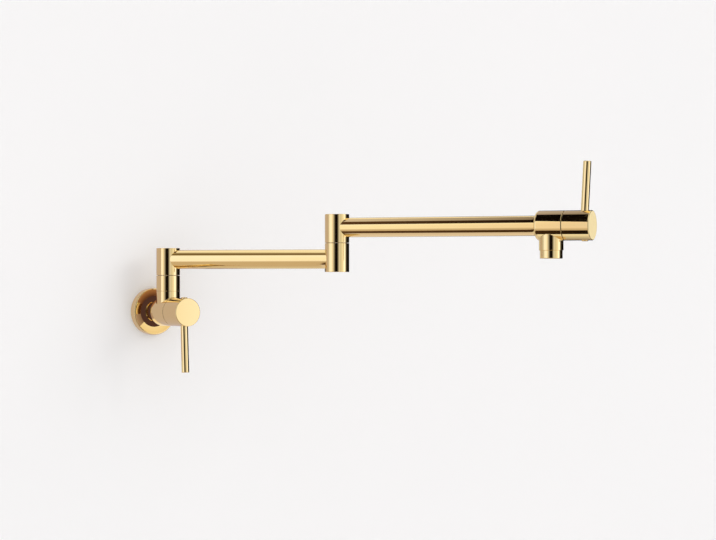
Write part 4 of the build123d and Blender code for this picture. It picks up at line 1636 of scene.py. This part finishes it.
    def build_card(self, card: Card, bar: Axis, span: Span) -> None:
        """Stand one card of painted reflection in its place, bent so that its edges stay square on
        the bar.

        Args:
            card: The card.
            bar: Axis of the bar that mirrors it.
            span: Levels between which the bar shows it.
        """
        rows, tones = [], []
        for part in np.linspace(0, 1, self.card_rows):
            row = []
            for level, shares in zip(span, (card.shares, card.end_shares)):
                point = bar.place(level)
                back = self.eye - point
                facing = (back - bar.along * back.dot(bar.along)).normalized()
                upwards = facing.cross(bar.along)
                tilt = asin(shares[0] + (shares[1] - shares[0]) * part)
                normal = facing * cos(tilt) + upwards * sin(tilt)
                row.append(self.bounced(point, normal, card.distance))
            rows.append(row)
            for low, high in (card.tones, card.end_tones):
                tones.append(np.array(linear(low)) * (1 - part) + np.array(linear(high)) * part)
        self.hang(card.name, rows, tones)

    def build_flags(self) -> None:
        """Hang the flat cards of painted reflection and shade: along the wall, in the flange's gap
        and before the knob's end.
        """
        for flag in self.wall_reflection_flags:
            rows = self.flat_rows(flag.width, *((flag.place, level) for level in flag.rise))
            self.hang(flag.name, rows, [linear(flag.tone)] * FLAT_CORNERS)
        gap = Axis(Vector((0, self.gap_place, 0)), UP.cross(Vector((1, 0, 0))), UP)
        for flag in self.gap_reflection_flags:
            angles = np.radians(np.linspace(*flag.turn, self.gap_points))
            rings = [gap.points(0, radius, angles) for radius in flag.radii]
            rows = [[Vector(inner), Vector(outer)] for inner, outer in zip(*rings)]
            self.hang(flag.name, rows, [linear(tone) for tone in flag.tones] * len(rows))
        _, front, reach = self.outlet.size("outlet_knob")
        face = self.outlet.place(front)
        across = self.outlet.along.cross(UP)
        rows = []
        for side in (-1, 1):
            edge = face + across * side * reach * self.knob_card_width
            row = [edge + UP * height * reach for height in self.knob_card_rise]
            rows.append(
                [self.bounced(point, self.outlet.along, self.knob_card_distance) for point in row]
            )
        self.hang("knob_face_reflection", rows, [linear(self.knob_card_tone)] * FLAT_CORNERS)

    def hang(self, name: str, rows: Sequence[Sequence[Vector]], tones: Sequence[Any]) -> None:
        """Hang a plain glowing card that only mirroring metal sees, as a painted reflection.

        Args:
            name: Last part of the card's name.
            rows: Pairs of its points in millimetres, from edge to edge.
            tones: Linear colour at each of the points.
        """
        piece = self.sheet(f"card_{name}", rows)
        shades = piece.data.color_attributes.new("tone", "FLOAT_COLOR", "POINT")
        for shade, tone in zip(shades.data, tones):
            shade.color = tuple(tone)
        material = bpy.data.materials.new(f"card_{name}")
        tree = empty_tree(material)
        shade = add_node(tree, "ShaderNodeAttribute", attribute_name="tone")
        # The card glows though it is no lamp; only glossy rays see it, so it paints a reflection.
        glow = add_node(tree, "ShaderNodeEmission", {"Color": shade})
        add_node(tree, "ShaderNodeOutputMaterial", {"Surface": glow})
        piece.data.materials.append(material)
        piece.visible_camera = False
        piece.visible_diffuse = False
        piece.visible_shadow = False
        piece.visible_transmission = False


# --- The whole ---------------------------------------------------------------------------
@dataclass(frozen=True)
class PotFiller:
    """The whole object: how its sub-assemblies meet, and the order they are made in.

    Attributes:
        pin_socket: Depth of the swivel pin's socket in the riser's boss.
        neck_socket: Radius and depth of the neck's socket in the wall's valve body.
        stub_radius: Radius of the outlet's stub.
        aerator_socket: Radius and depth of the aerator's socket in the stub.
        tube_socket: Radius and depth of the arm's socket in the outlet's valve body.
        circlip_gap: How far under a circlip the cap's seat starts.
        hub_edge: Rounding at the visible end of a column.
    """

    pin_socket: float = 12.0
    neck_socket: Span = (10.0, 6.0)
    stub_radius: float = 14.5
    aerator_socket: Span = (12.05, 9.0)
    tube_socket: Span = (12.05, 5.0)
    circlip_gap: float = 0.1
    hub_edge: float = 0.5

    def build(self) -> None:
        """Build the studio and every sub-assembly, from the wall to the outlet."""
        wall_valve = joint_axis("wall_valve_turn")
        riser = joint_axis("riser_swing", wall_valve.along)
        outlet_valve = joint_axis("outlet_valve_turn")
        elbow = joint_axis("elbow_swing", outlet_valve.along)
        arm_way = outlet_valve.along
        low, high = (corner.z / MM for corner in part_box("inner_tube")[:2])
        inner_height = (low + high) / 2
        inner_arm = Axis(Vector((*riser.origin.xy, inner_height)), arm_way, UP)
        inner_end = Axis(Vector((*elbow.origin.xy, inner_height)), -arm_way, UP)
        outer_arm = Axis(Vector((*elbow.origin.xy, outlet_valve.origin.z)), arm_way, UP)
        Studio(outlet_valve, outer_arm).build()

        shoulder = riser.reach("riser_spigot") + FIT
        cap_seat = riser.reach("inner_hub_cap") + FIT
        riser_bores, elbow_bores = (
            Swivel(axis, shoulder, cap_seat, axis.span(circlip)[0] - self.circlip_gap)
            for axis, circlip in ((riser, "riser_circlip"), (elbow, "elbow_circlip"))
        )
        self.build_wall_end(wall_valve, arm_way, riser_bores)
        edge = self.hub_edge
        bores = riser_bores.upper_hub()
        ColumnPart("inner_hub", "inner_arm", riser, bores, top_edge=edge, tube=inner_arm).build()
        ColumnCap("inner_hub_cap", "inner_arm", riser).build()
        inner_reach = arm_way.dot(elbow.origin - riser.origin)
        ArmTube("inner_tube", "inner_arm", inner_arm, inner_reach, in_column=True).build()
        bores = elbow_bores.lower_hub()
        ColumnPart(
            "elbow_lower_hub", "inner_arm", elbow, bores, foot_edge=edge, tube=inner_end
        ).build()
        bores = elbow_bores.upper_hub()
        ColumnPart(
            "elbow_upper_hub", "outer_arm", elbow, bores, top_edge=edge, tube=outer_arm
        ).build()
        ColumnCap("elbow_upper_cap", "outer_arm", elbow).build()
        tube_end = outer_arm.span("outer_tube")[1]
        ArmTube("outer_tube", "outer_arm", outer_arm, tube_end, in_column=False).build()
        self.build_outlet_end(outlet_valve, arm_way)
        HiddenWorks().build()

    def build_wall_end(self, valve: Axis, arm_way: Vector, swivel: Swivel) -> None:
        """Make what stays on the wall, with its handle.

        Args:
            valve: Axis of the wall's valve.
            arm_way: Direction of the arms.
            swivel: Bores of the riser.
        """
        WallFlange(Axis(Vector((0, 0, 0)), valve.along, UP)).build()
        boss = Axis(valve.origin, UP, arm_way)
        ValveBody(
            "wall_valve_body", "wall_base", valve,
            column=boss, column_radius=swivel.axis.reach("riser_collar"),
            column_end=boss.span("riser_collar")[0],
            seat=(swivel.pin, self.pin_socket), rear=self.neck_socket,
        ).build()
        Handle("wall", "wall_handle", valve, LeverSide.HANGS).build()
        ColumnPart("riser_collar", "wall_base", swivel.axis, swivel.collar()).build()

    def build_outlet_end(self, valve: Axis, arm_way: Vector) -> None:
        """Make the outlet's valve with its aerator and its handle.

        Args:
            valve: Axis of the outlet's valve.
            arm_way: Direction of the arms.
        """
        stub = Axis(valve.origin, -UP, arm_way)
        ValveBody(
            "outlet_valve_body", "outer_arm", valve,
            column=stub, column_radius=self.stub_radius,
            column_end=stub.span("outlet_valve_body")[1],
            seat=self.aerator_socket, rear=self.tube_socket,
        ).build()
        Aerator(Axis(valve.origin, UP, arm_way)).build()
        Handle("outlet", "outlet_handle", valve, LeverSide.STANDS).build()


def main() -> None:
    """Build the pot filler in its studio."""
    logging.basicConfig(level=logging.INFO, format="%(name)s: %(message)s")
    PotFiller().build()
    boxes = {"cad": CAD_BOX, "visual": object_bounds()}
    {name: [list(corner) for corner in box] for name, box in boxes.items()}


if __name__ == "__main__":
    main()
